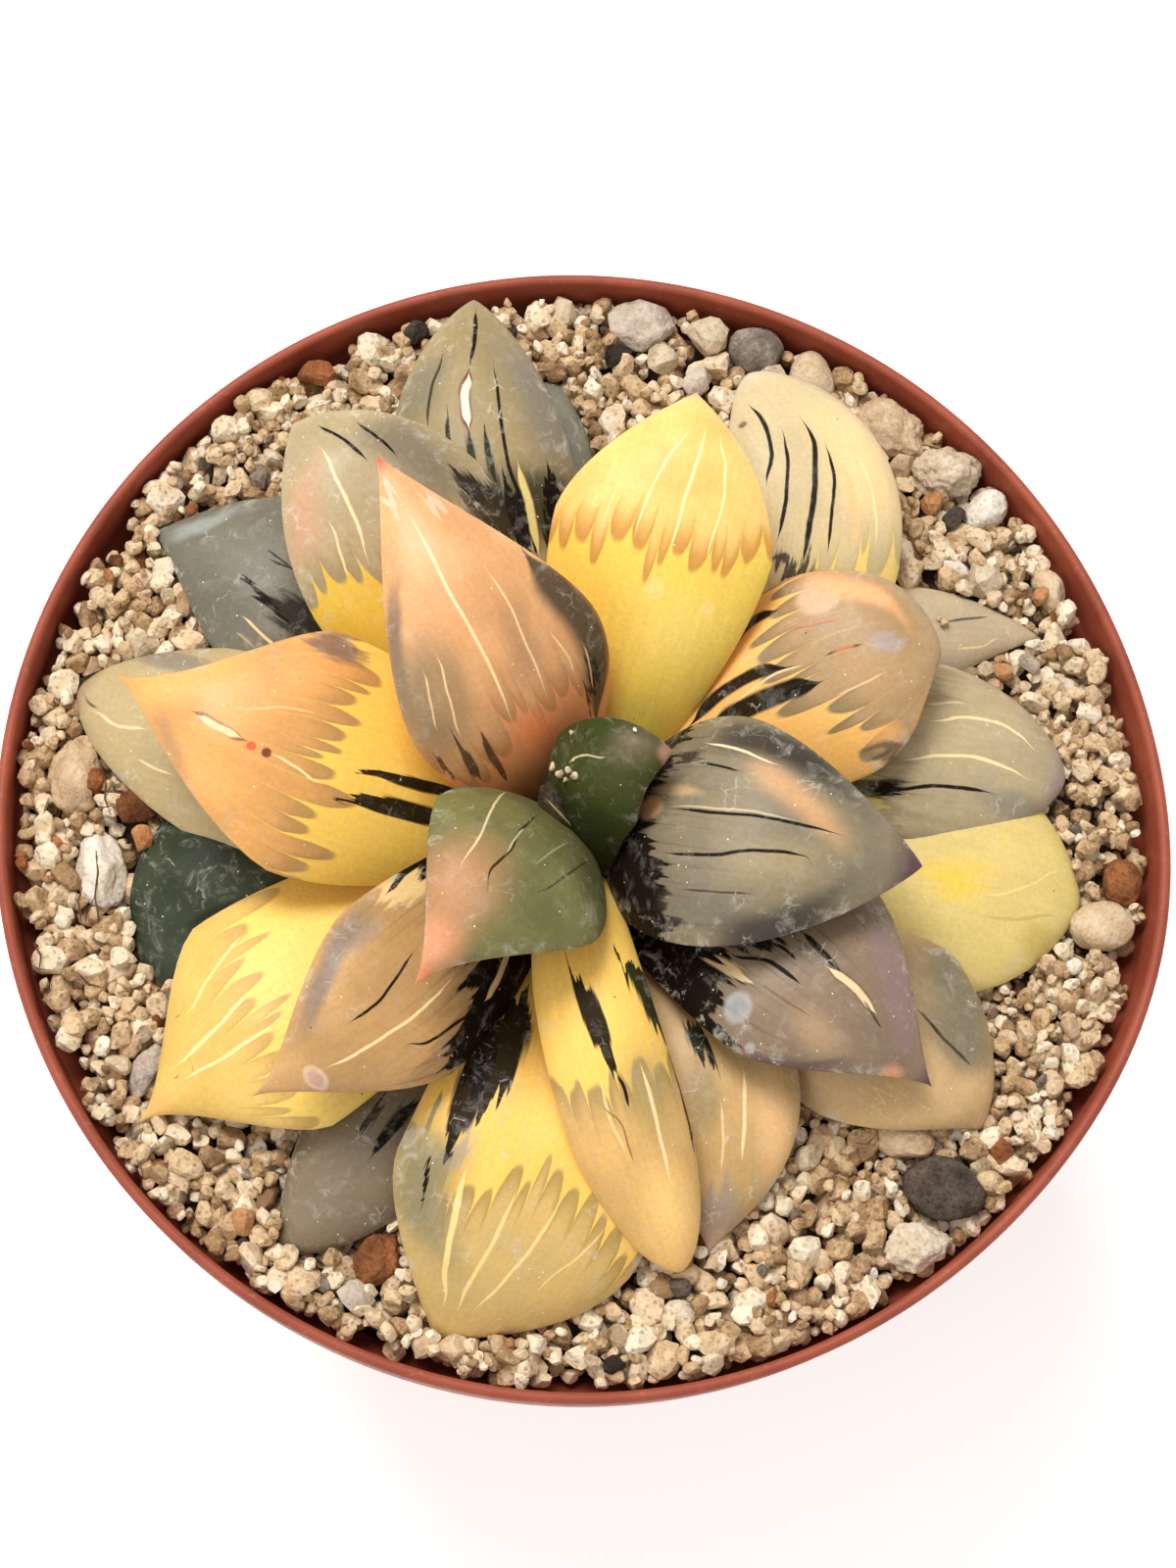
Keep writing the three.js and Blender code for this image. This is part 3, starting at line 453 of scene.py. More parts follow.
PATCHES = {  # by the number of the leaf
    1: (
        Patch("4e5636", (605, 900), (3.2, 4.5), 0.95, 0.8),
        Patch("b98f64", (462, 905), (5.2, 7.5), 0.95, 0.95),
        Patch("dea27a", (440, 965), (3.4, 4.6), 0.95, 0.95),
    ),
    2: (
        Patch("6a5f48", (645, 760), (2.6, 3.0), 0.9, 0.7),
        Patch("a9826c", (682, 768), (1.0, 1.0), 0.8),
        Patch("333f20", (605, 840), (3.0, 3.5), 0.9, 0.8),
    ),
    3: (
        Patch("ecb886", (425, 560), (3.4, 7.0), 0.9, 0.8),
        Patch("f5d8c4", (397, 509), (1.0, 0.9), strength=0.6, ragged=True),
        Patch("f5d8c4", (443, 513), (0.8, 0.9), strength=0.55, ragged=True),
        Patch("f59a62", (548, 752), (2.6, 3.0), 0.7),
    ),
    4: (
        Patch("f9e680", (690, 640), (4.5, 4.0), 0.9, 0.7),
        Patch("cfc04c", (655, 740), (3.2, 3.5), 0.9, 0.6),
        Patch("f6dc92", (608, 505), (1.0, 1.2), 0.4, 0.5),
        Patch("f9eca0", (668, 600), (0.9, 0.9), 0.4, 0.5),
        Patch("f9eca0", (722, 622), (0.7, 0.7), 0.4, 0.5),
    ),
    5: (
        Patch("6f6e60", (715, 925), (2.2, 4.0), 0.8, 0.8),
        Patch("e6b987", (664, 824), (1.3, 1.6)),
        Patch("c8ad84", (690, 806), (0.7, 3.0), 0.7, 0.8),
    ),
    6: (
        Patch("7f6c5c", (345, 660), (1.6, 3.2), 0.6, ragged=True),
        Patch("f3b76e", (210, 790), (2.2, 5.0), 0.9, 0.7),
        Patch("d8552e", (257, 761), (0.4, 0.45), 0.4),
        Patch("6a2a1e", (272, 768), (0.45, 0.45), 0.4),
    ),
    7: (
        Patch("e4cf92", (415, 905), (1.6, 2.2), 0.4, ragged=True),
        Patch("e6d2c4", (322, 1101), (1.35, 1.2), 0.25, 0.6),
        Patch("b8958a", (322, 1101), (1.0, 0.85), strength=0.6),
        Patch("8f8a84", (370, 955), (1.2, 3.0), 0.9, 0.6),
    ),
    8: (
        Patch("fadc8c", (685, 1240), (3.4, 5.0), 0.9),
        Patch("a39562", (662, 1115), (3.0, 5.0), 0.9, 0.75),
    ),
    9: (
        Patch("dba67e", (908, 1099), (1.3, 1.6), 0.7),
        Patch("aab4b8", (753, 1028), (1.4, 1.3), 0.35, 0.75),
        Patch("8b9498", (752, 1029), (0.9, 0.8), 0.6, 0.5),
        Patch("aab4b8", (765, 1069), (0.5, 0.5), strength=0.7),
        Patch("c4ae8a", (835, 1055), (2.2, 4.0), 0.9, 0.5),
    ),
    10: (
        Patch("f2d4bc", (836, 608), (1.7, 2.1), 0.35, 0.45),
        Patch("f0b96c", (905, 750), (1.2, 3.0), 0.8, 0.7),
        Patch("a5a2a6", (907, 653), (1.3, 1.6), 0.6, 0.7, ragged=True),
        Patch("5d5448", (905, 768), (1.2, 1.6), strength=0.8, ragged=True),
    ),
    11: (Patch("e9bd74", (160, 1130), (2.2, 2.5), 0.8, 0.7),),
    12: (
        Patch("f7dc7c", (560, 1140), (3.0, 5.0), 0.9, 0.6),
        Patch("b4b0a0", (472, 1172), (1.2, 2.2), 0.7, 0.8, ragged=True),
    ),
    15: (
        Patch("241d17", (808, 578), (2.6, 1.2), ragged=True),
        Patch("7a4a2a", (758, 433), (0.4, 0.4)),
    ),
    16: (Patch("241f1a", (305, 630), (2.2, 3.2), ragged=True),),
    17: (Patch("8b8778", (170, 672), (1.6, 6.5), 0.7, ragged=True),),
    20: (
        Patch("ead24a", (977, 897), (2.8, 4.8), 0.95, ragged=True),
        Patch("c0ae60", (1060, 960), (2.0, 3.5), 0.8, 0.6),
    ),
    21: (
        Patch("25201a", (893, 803), (0.9, 2.6), 0.4, ragged=True),
        Patch("8d8a80", (1040, 825), (1.6, 4.0), 0.7, 0.7),
    ),
    23: (Patch("77745f", (982, 1060), (3.0, 6.5), 0.8, 0.85),),
    24: (
        Patch("f0cc96", (792, 1150), (2.4, 7.0), 0.95),
        Patch("a1978a", (728, 1240), (3.2, 3.6), 0.7, ragged=True),
        Patch("9c9168", (718, 1120), (2.0, 4.0), 0.8, 0.8),
    ),
}

STROKES = {  # by the number of the leaf, in the order in which they are drawn
    1: (
        Stroke("d9cfa4", 0.23, ((519, 806), (501, 827), (488, 856), (473, 879), (466, 895))),
        Stroke("26301c", 0.27, ((551, 830), (530, 849), (519, 869), (504, 884), (493, 916))),
        Stroke("d0cfa6", 0.2, ((536, 844), (524, 858), (515, 872)), 0.7),
        Stroke("a8ad82", 0.19, ((582, 858), (560, 871), (543, 886)), 0.7),
        Stroke("2a3422", 0.23, ((603, 877), (579, 892), (562, 905), (540, 916)), 0.8),
    ),
    2: (Stroke("c9bd96", 0.2, ((579, 780), (595, 771), (621, 771))),),
    3: (
        Stroke("77695a", 1.8, ((398, 560), (401, 620), (408, 690), (428, 762)), 0.85, 0.8),
        Stroke("8f8264", 6.5, ((415, 620), (425, 680), (440, 740), (470, 790)), 0.85, 0.95),
        Stroke("a08a64", 4.2, ((440, 640), (462, 700), (480, 760)), 0.75, 0.9),
        Stroke("b08a60", 4.4, ((505, 590), (530, 650), (550, 705)), 0.75, 0.9),
        # painted shade: the broad dark band along the right edge, where the surface turns away
        Stroke("4d4434", 4.4, ((530, 555), (568, 600), (600, 640), (612, 690), (610, 740)), 0.95, 0.65),
        Frayed("2c2419", 1.6, ((596, 655), (606, 690), (604, 735)), 0.85),
        Stroke("e9c894", 0.23, ((594, 655), (602, 680), (606, 705)), 0.8),
        Stroke(CREAM, 0.33, ((410, 512), (433, 553), (460, 607), (490, 660), (513, 710), (527, 747))),
        Stroke(CREAM, 0.23, ((490, 570), (517, 613), (537, 657), (553, 697), (560, 716)), 0.8),
        Stroke(CREAM, 0.22, ((560, 643), (580, 670), (587, 690)), 0.8),
        Stroke(CREAM, 0.2, ((430, 683), (440, 720), (447, 747)), 0.7),
        Stroke(CREAM, 0.22, ((443, 663), (457, 710), (473, 757)), 0.8),
        Frayed("38271a", 0.9, ((462, 748), (476, 772), (492, 798)), 0.85),
        Frayed("38271a", 0.8, ((488, 742), (500, 768), (518, 798)), 0.85),
        Frayed("38271a", 0.47, ((440, 765), (452, 780), (466, 798)), 0.8),
    ),
    4: (
        Stroke("fdf0b4", 0.28, ((703, 435), (680, 470), (660, 510), (645, 555))),
        Stroke("fdf0b4", 0.33, ((722, 432), (715, 460), (700, 505), (690, 540), (682, 575))),
        Stroke("fdf0b4", 0.28, ((735, 438), (740, 480), (736, 520), (724, 560), (718, 582))),
        Stroke("f8e8a8", 0.2, ((630, 495), (620, 520), (612, 545)), 0.7),
    ),
    5: (
        # painted highlight: a broad soft tan band along the leaf's ridge
        Stroke("c9a87b", 4.2, ((745, 772), (790, 795), (840, 835), (890, 872)), 0.95, 0.95),
        Stroke("a99f7c", 5.0, ((720, 880), (790, 880), (860, 885)), 0.6, 0.95),
        Stroke("393633", 4.4, ((690, 762), (745, 750), (810, 768), (870, 808), (920, 855)), 0.92, 0.8),
        Stroke("3f3c38", 4.8, ((705, 960), (770, 955), (830, 935), (890, 905)), 0.9, 0.8),
        Frayed("1f1913", 1.8, ((672, 790), (695, 775), (715, 770)), 0.8, 0.6),
        Stroke("e9dcb6", 0.27, ((717, 758), (760, 767), (800, 782))),
        Stroke(BLACK, 0.27, ((710, 778), (737, 782), (758, 787))),
        Stroke("d9cfae", 0.23, ((680, 822), (725, 824), (775, 829), (825, 840)), 0.6),
        Stroke(BLACK, 0.33, ((678, 825), (720, 828), (773, 833), (827, 843), (870, 855))),
        Stroke(BLACK, 0.36, ((670, 870), (727, 872), (773, 868), (820, 873), (837, 890))),
        Stroke(BROWN, 0.22, ((693, 907), (727, 910), (773, 913)), 0.8),
    ),
    6: (
        Stroke("f4b870", 6.5, ((125, 688), (165, 700), (215, 690), (270, 690)), 0.9, 0.9),
        Stroke("a98c6c", 2.4, ((150, 722), (175, 760), (205, 810)), 0.6, 0.9),
        Stroke("8a5a36", 0.9, ((195, 725), (222, 740), (255, 757)), 0.8),
        Stroke("eed8ac", 0.7, ((200, 730), (225, 743), (248, 753))),
        Stroke("f6e4ac", 0.27, ((275, 769), (300, 782), (330, 800))),
        Stroke("f0d49a", 0.23, ((235, 720), (290, 722), (330, 730)), 0.6),
        Frayed(BLACK, 1.0, ((350, 785), (393, 790), (427, 800), (462, 808), (505, 816)), soft=0.25),
        Frayed(BLACK, 1.6, ((325, 815), (360, 815), (393, 821), (427, 830), (462, 836), (500, 840)),
               soft=0.25),
    ),
    7: (
        Stroke("7b6f66", 2.4, ((395, 905), (355, 950), (325, 1010), (290, 1070)), 0.85, 0.8),
        Stroke("bd9c6c", 3.0, ((440, 960), (410, 1010), (370, 1050)), 0.6, 0.9),
        Stroke("e6d3a0", 0.8, ((522, 972), (505, 1005), (494, 1022)), 0.9),
        Stroke(CREAM, 0.33, ((466, 990), (457, 1003), (427, 1033), (393, 1057), (360, 1077), (327, 1093))),
        Stroke(BLACK, 0.31, ((427, 967), (403, 1000), (380, 1027), (353, 1047))),
        Stroke(BLACK, 0.33, ((497, 1025), (467, 1043), (437, 1063), (410, 1070))),
        Stroke(BLACK, 0.47, ((433, 867), (413, 890), (393, 913))),
    ),
    8: (
        Frayed("20281a", 2.2, ((628, 968), (655, 1005), (678, 1040), (693, 1065)), soft=0.4),
        Frayed(BLACK, 1.7, ((575, 970), (593, 1007), (610, 1047), (624, 1080), (634, 1105)), soft=0.3),
        Stroke(BLACK, 0.31, ((630, 1095), (637, 1110), (642, 1130))),
        Stroke("3a2a20", 0.31, ((692, 1060), (703, 1100), (710, 1140), (717, 1180))),
        Stroke(CREAM, 0.36, ((652, 1080), (664, 1120), (676, 1170), (687, 1215))),
        Stroke(CREAM, 0.31, ((612, 1100), (622, 1140), (640, 1180)), 0.6),
        Stroke("8a6240", 0.2, ((613, 1123), (637, 1153), (648, 1190)), 0.8),
    ),
    9: (
        # painted highlight: the grey band on the leaf's right facet
        Stroke("8e7c7c", 4.5, ((880, 940), (908, 985), (922, 1030), (935, 1080)), 0.8, 0.7),
        Stroke("564a50", 1.8, ((740, 1075), (800, 1092), (870, 1098)), 0.7, 0.8),
        Frayed("e0cb9c", 1.3, ((715, 972), (747, 990), (773, 1005)), 0.9),
        Stroke(BLACK, 0.43, ((743, 972), (787, 982), (820, 1007))),
        Stroke(BLACK, 0.35, ((783, 960), (800, 968), (813, 980))),
        Stroke(BLACK, 0.7, ((817, 950), (840, 973), (860, 993))),
        Stroke("5a3c26", 1.0, ((840, 983), (867, 1003), (897, 1037)), 0.8),
        Stroke("eedcb0", 0.72, ((842, 985), (867, 1003), (896, 1036))),
        Stroke(BLACK, 0.27, ((880, 1020), (892, 1038), (900, 1050)), 0.7),
        Stroke("6a5030", 0.23, ((770, 1000), (800, 1020), (830, 1040)), 0.6),
    ),
    10: (
        Stroke("f2b985", 3.4, ((800, 598), (850, 598), (905, 612), (940, 645)), 0.9, 0.9),
        Stroke("e0b47c", 3.2, ((955, 670), (950, 710), (925, 745)), 0.7, 0.9),
        Stroke(BLACK, 1.3, ((698, 745), (722, 720), (747, 700), (775, 685), (812, 678)), soft=0.4),
        Stroke(BLACK, 2.0, ((712, 755), (745, 732), (780, 714), (812, 702), (842, 693)), soft=0.35),
        Stroke(BLACK, 1.0, ((742, 664), (758, 643), (775, 630), (795, 622))),
        Stroke("ead9a8", 0.27, ((745, 720), (790, 688), (822, 677))),
        Stroke("3a2a1c", 0.31, ((840, 670), (860, 662), (882, 656)), 0.8),
        Stroke("c0713c", 0.31, ((850, 666), (862, 661), (873, 658))),
        Stroke("c8502e", 0.16, ((805, 645), (832, 637), (860, 630)), 0.8),
        Stroke("e6d0a0", 0.23, ((850, 712), (880, 698), (905, 686)), 0.7),
    ),
    11: (
        Stroke("fbf0b4", 0.39, ((178, 1090), (215, 1055), (262, 1010)), 0.8),
        Stroke("fbf0b4", 0.35, ((185, 1105), (230, 1078), (285, 1040)), 0.8),
        Stroke("fbf0b4", 0.31, ((185, 1040), (215, 995), (255, 950)), 0.7),
        Stroke("c85a34", 0.2, ((183, 1036), (188, 1052)), 0.8),
        Stroke("c85a34", 0.19, ((194, 1078), (197, 1092)), 0.8),
        Stroke("c85a34", 0.2, ((182, 1098), (188, 1114)), 0.8),
    ),
    12: (
        Stroke("83805f", 10.0, ((452, 1120), (432, 1180), (428, 1240), (440, 1320)), 0.95, 0.9),
        Frayed(BLACK, 4.6, ((540, 1000), (520, 1040), (500, 1090), (488, 1150)), soft=0.2),
        Frayed(BLACK, 2.6, ((512, 1050), (482, 1105), (462, 1160), (455, 1195)), soft=0.3),
        Stroke("8c8a5c", 0.47, ((452, 1110), (440, 1140), (432, 1165)), 0.9),
        Stroke("efda96", 0.62, ((479, 1185), (465, 1236), (454, 1292), (448, 1337))),
        Stroke("efda96", 0.39, ((530, 1208), (502, 1270), (476, 1315), (462, 1345))),
        Stroke("efda96", 0.35, ((575, 1219), (541, 1275), (502, 1320), (479, 1343))),
        Stroke("efda96", 0.28, ((620, 1247), (592, 1281), (547, 1320)), 0.8),
        Frayed(BLACK, 0.47, ((437, 1180), (433, 1205), (430, 1235))),
    ),
    13: (
        Stroke("c6a587", 6.0, ((330, 440), (312, 480), (310, 530), (330, 590)), 0.85, 0.95),
        Stroke("78725f", 7.5, ((345, 428), (400, 445), (450, 490), (500, 540)), 0.9, 0.9),
        Frayed("2d2822", 5.5, ((455, 470), (500, 515), (530, 560), (545, 610)), 0.97, 0.6),
        Stroke(CREAM, 0.35, ((323, 453), (347, 497), (367, 540), (380, 580))),
        Stroke(CREAM, 0.25, ((333, 530), (350, 573), (357, 592)), 0.8),
        Stroke(BLACK, 0.39, ((323, 433), (353, 450), (377, 473))),
        Stroke(BLACK, 0.34, ((363, 430), (387, 447), (407, 467))),
        Frayed("d8d2c0", 0.23, ((470, 500), (490, 520), (505, 535)), 0.5),
    ),
    14: (
        Stroke("33331f", 11.0, ((535, 455), (552, 510), (562, 575)), 0.93, 0.9),
        Stroke("7f7d68", 5.0, ((450, 350), (428, 400), (425, 440)), 0.85, 0.8),
        Stroke("7f7d70", 8.0, ((505, 320), (540, 380), (565, 440), (582, 510)), 0.9, 0.95),
        Frayed(BLACK, 2.4, ((512, 475), (528, 520), (545, 580)), soft=0.3),
        Frayed(BLACK, 2.8, ((560, 478), (568, 520), (562, 570)), soft=0.3),
        Stroke(BLACK, 0.43, ((486, 315), (484, 350), (480, 375))),
        Stroke(BLACK, 0.33, ((452, 357), (440, 397), (437, 440)), 0.8),
        Frayed("26301c", 0.39, ((456, 410), (457, 440), (460, 475))),
        Frayed("26301c", 0.9, ((476, 425), (480, 460), (488, 505))),
        Frayed("26301c", 1.0, ((494, 430), (502, 475), (515, 530))),
        Stroke(BLACK, 0.39, ((503, 363), (510, 413), (517, 467), (533, 513), (547, 560))),
        Stroke("6a4a30", 1.2, ((478, 374), (474, 405), (478, 444))),
        Stroke("f0e9d6", 0.85, ((478, 380), (474, 408), (478, 438))),
        Stroke("d8cf88", 0.8, ((528, 468), (540, 515), (551, 570))),
    ),
    15: (
        Stroke("f0dca6", 8.5, ((815, 395), (862, 440), (888, 500), (896, 570)), 0.92, 0.95),
        Stroke("fbeebc", 0.31, ((875, 460), (892, 510), (893, 560)), 0.7),
        Stroke("e3cc90", 0.8, ((860, 470), (872, 520), (868, 570)), 0.6),
        Stroke(BLACK, 0.47, ((760, 410), (777, 427), (787, 460), (783, 497))),
        Stroke(BLACK, 0.43, ((795, 433), (803, 463), (802, 507), (792, 557))),
        Stroke(BLACK, 0.6, ((813, 420), (827, 443), (832, 480), (827, 530), (815, 585))),
        Stroke(BLACK, 0.36, ((840, 447), (850, 480), (848, 530), (843, 570))),
    ),
    16: (
        # painted sheen: a pale blue-grey band near the leaf's upper left
        Stroke("98a5a2", 2.6, ((165, 545), (210, 535), (260, 520)), 0.85, 0.8),
        Frayed(BLACK, 0.8, ((232, 580), (265, 608), (300, 640))),
        Frayed(BLACK, 0.47, ((270, 560), (300, 585)), 0.8),
        Stroke(CREAM, 0.31, ((245, 628), (265, 645), (290, 665)), 0.8),
        Stroke("b9ae88", 0.27, ((240, 645), (262, 662)), 0.7),
    ),
    17: (
        Stroke(CREAM, 0.33, ((95, 725), (120, 740), (150, 745)), 0.8),
        Stroke(CREAM, 0.28, ((140, 775), (157, 783), (175, 790)), 0.8),
        Stroke("4a463a", 0.31, ((80, 705), (92, 718), (100, 722)), 0.8),
    ),
    18: (
        Frayed("8f978c", 1.2, ((185, 878), (205, 892), (228, 900)), 0.4, 0.9),
        Stroke("171c14", 1.2, ((180, 960), (220, 930), (270, 910)), 0.6, 0.9),
    ),
    19: (
        Frayed(BLACK, 1.5, ((432, 1110), (405, 1145), (378, 1180))),
        Frayed(BLACK, 1.0, ((395, 1115), (380, 1140), (366, 1160)), 0.8),
    ),
    20: (
        Stroke("f0e49c", 0.27, ((1000, 912), (1045, 905), (1085, 890)), 0.6),
        Stroke("b8a458", 0.39, ((1000, 935), (1040, 938), (1080, 935)), 0.5),
    ),
    21: (
        Stroke(CREAM, 0.35, ((945, 735), (990, 732), (1015, 737), (1040, 750), (1062, 768))),
        Stroke(CREAM, 0.35, ((915, 775), (960, 771), (1000, 774), (1030, 784), (1055, 798))),
        Frayed(BLACK, 1.5, ((888, 808), (905, 806), (920, 806))),
        Stroke(BLACK, 0.39, ((905, 806), (950, 802), (1000, 807), (1020, 812))),
        Stroke("e6d6b0", 0.27, ((945, 718), (968, 717), (985, 718)), 0.7),
    ),
    22: (
        Stroke("3a3a2c", 0.31, ((960, 635), (985, 632), (1010, 630)), 0.8),
        Stroke(CREAM, 0.23, ((975, 662), (1000, 660), (1020, 652)), 0.6),
    ),
    23: (
        Stroke("7a7864", 10.0, ((915, 920), (955, 975), (990, 1035), (1005, 1100)), 0.95, 0.9),
        Stroke("2e2c20", 0.35, ((941, 1036), (965, 1062), (993, 1090)), 0.8),
        Stroke("2e2c20", 0.31, ((935, 1030), (950, 1045), (960, 1058)), 0.7),
        Frayed("ecdcae", 0.31, ((850, 1112), (900, 1120), (950, 1130)), 0.5),
    ),
    24: (
        Frayed("20281a", 1.6, ((700, 1035), (712, 1065), (722, 1090))),
        Frayed(BLACK, 0.7, ((715, 1050), (726, 1080), (732, 1110))),
        Stroke(CREAM, 0.36, ((757, 1085), (760, 1140), (757, 1190))),
        Stroke(CREAM, 0.27, ((735, 1120), (738, 1160), (736, 1200)), 0.6),
    ),
    26: (
        Stroke(BLACK, 0.9, ((560, 806), (580, 826), (598, 850))),
        Stroke("cdb98c", 0.19, ((556, 814), (575, 834), (592, 854)), 0.7),
    ),
    27: (Stroke(BLACK, 0.47, ((570, 806), (586, 820), (602, 838)), 0.7),),
}


# ---------------- finishes
class Paint:
    """One material as it is mixed: its node tree, and the nodes that every finish uses."""

    def __init__(self, name: str) -> None:
        """Start a material, named for the real one, with its shader."""
        self.material = bpy.data.materials.new(name)
        self.material.use_nodes = True
        self.tree = self.material.node_tree
        self.tree.nodes.clear()
        self.shader = self.add("BsdfPrincipled")
        self.add("OutputMaterial", {"Surface": self.shader.outputs["BSDF"]})
        self.place = self.add("TexCoord").outputs["Object"]

    def add(self, kind: str, inputs: dict | None = None, points: tuple = (), stops: tuple = (),
            **settings) -> bpy.types.Node:
        """Add one node with its settings and links.

        Args:
            kind: the node's type, without the ShaderNode prefix.
            inputs: a value or a socket to link, by input name or number.
            points: (x, y) points of a float curve.
            stops: (place, colour) stops of a colour ramp.
            settings: the node's own properties.

        Returns:
            The new node.
        """
        node = self.tree.nodes.new("ShaderNode" + kind)
        for name, value in settings.items():
            setattr(node, name, value)
        for key, value in (inputs or {}).items():
            self.feed(node.inputs[key], value)
        if points:
            curve = node.mapping.curves[0]
            for x, y in points[2:]:
                curve.points.new(x, y)
            for spot, (x, y) in zip(curve.points, sorted(points)):
                spot.location = (x, y)
                spot.handle_type = "AUTO_CLAMPED"
            node.mapping.update()
        if stops:
            ramp = node.color_ramp
            for place, _ in stops[2:]:
                ramp.elements.new(place)
            for element, (place, colour) in zip(ramp.elements, stops):
                element.position = place
                element.color = linear(colour)
        return node

    def feed(self, end: Socket, value: Socket | float | tuple | str) -> None:
        """Link a socket to an input, or set the input to a number, a vector or a hex colour."""
        if isinstance(value, Socket):
            self.tree.links.new(value, end)
        else:
            end.default_value = linear(value) if isinstance(value, str) else value

    def calc(self, operation: str, *values: Socket | float) -> Socket:
        """Return the result of one sum."""
        return self.add("Math", dict(enumerate(values)), operation=operation).outputs[0]

    def vector(self, operation: str, *values: Socket | tuple) -> Socket:
        """Return the result of one sum of vectors or colours."""
        return self.add("VectorMath", dict(enumerate(values)), operation=operation).outputs[0]

    def scaled(self, vector: Socket, factor: Socket) -> Socket:
        """Return a vector or a colour times a number."""
        return self.add("VectorMath", {0: vector, "Scale": factor}, operation="SCALE").outputs[0]

    def remap(self, value: Socket, low: Socket | float, high: Socket | float, start: float = 0.0,
              end: float = 1.0, curve: str = "LINEAR") -> Socket:
        """Turn a value between two bounds into one between two others.

        Args:
            value: what to turn.
            low: the bound that gives the start.
            high: the bound that gives the end. Beyond the bounds the result stays level.
            start: the result at the first bound.
            end: the result at the second.
            curve: how it runs between them, in the node's own words.

        Returns:
            The result.
        """
        bounds = {"Value": value, "From Min": low, "From Max": high, "To Min": start, "To Max": end}
        return self.add("MapRange", bounds, interpolation_type=curve).outputs[0]

    def mix(self, share: Socket | float, under: Socket | str, over: Socket | str) -> Socket:
        """Return one colour with a share of another laid over it."""
        return self.add("Mix", {0: share, 6: under, 7: over}, data_type="RGBA").outputs[2]

    def noise(self, size: float, detail: float, **more: float) -> bpy.types.Node:
        """Add a noise whose features have a size in millimetres on the piece."""
        scale = 1 / (size * MM)
        return self.add("TexNoise", {"Vector": self.place, "Scale": scale, "Detail": detail, **more})

    def done(self, inputs: dict) -> bpy.types.Material:
        """Set the shader's inputs, each to a socket or a value, and return the material."""
        for name, value in inputs.items():
            self.feed(self.shader.inputs[name], value)
        return self.material

    def relief(self, height: Socket, strength: float, depth: float) -> Socket:
        """Return the surface's direction with fine relief, a depth in millimetres at full strength."""
        return self.add("Bump", {"Height": height, "Strength": strength, "Distance": depth * MM}).outputs[0]


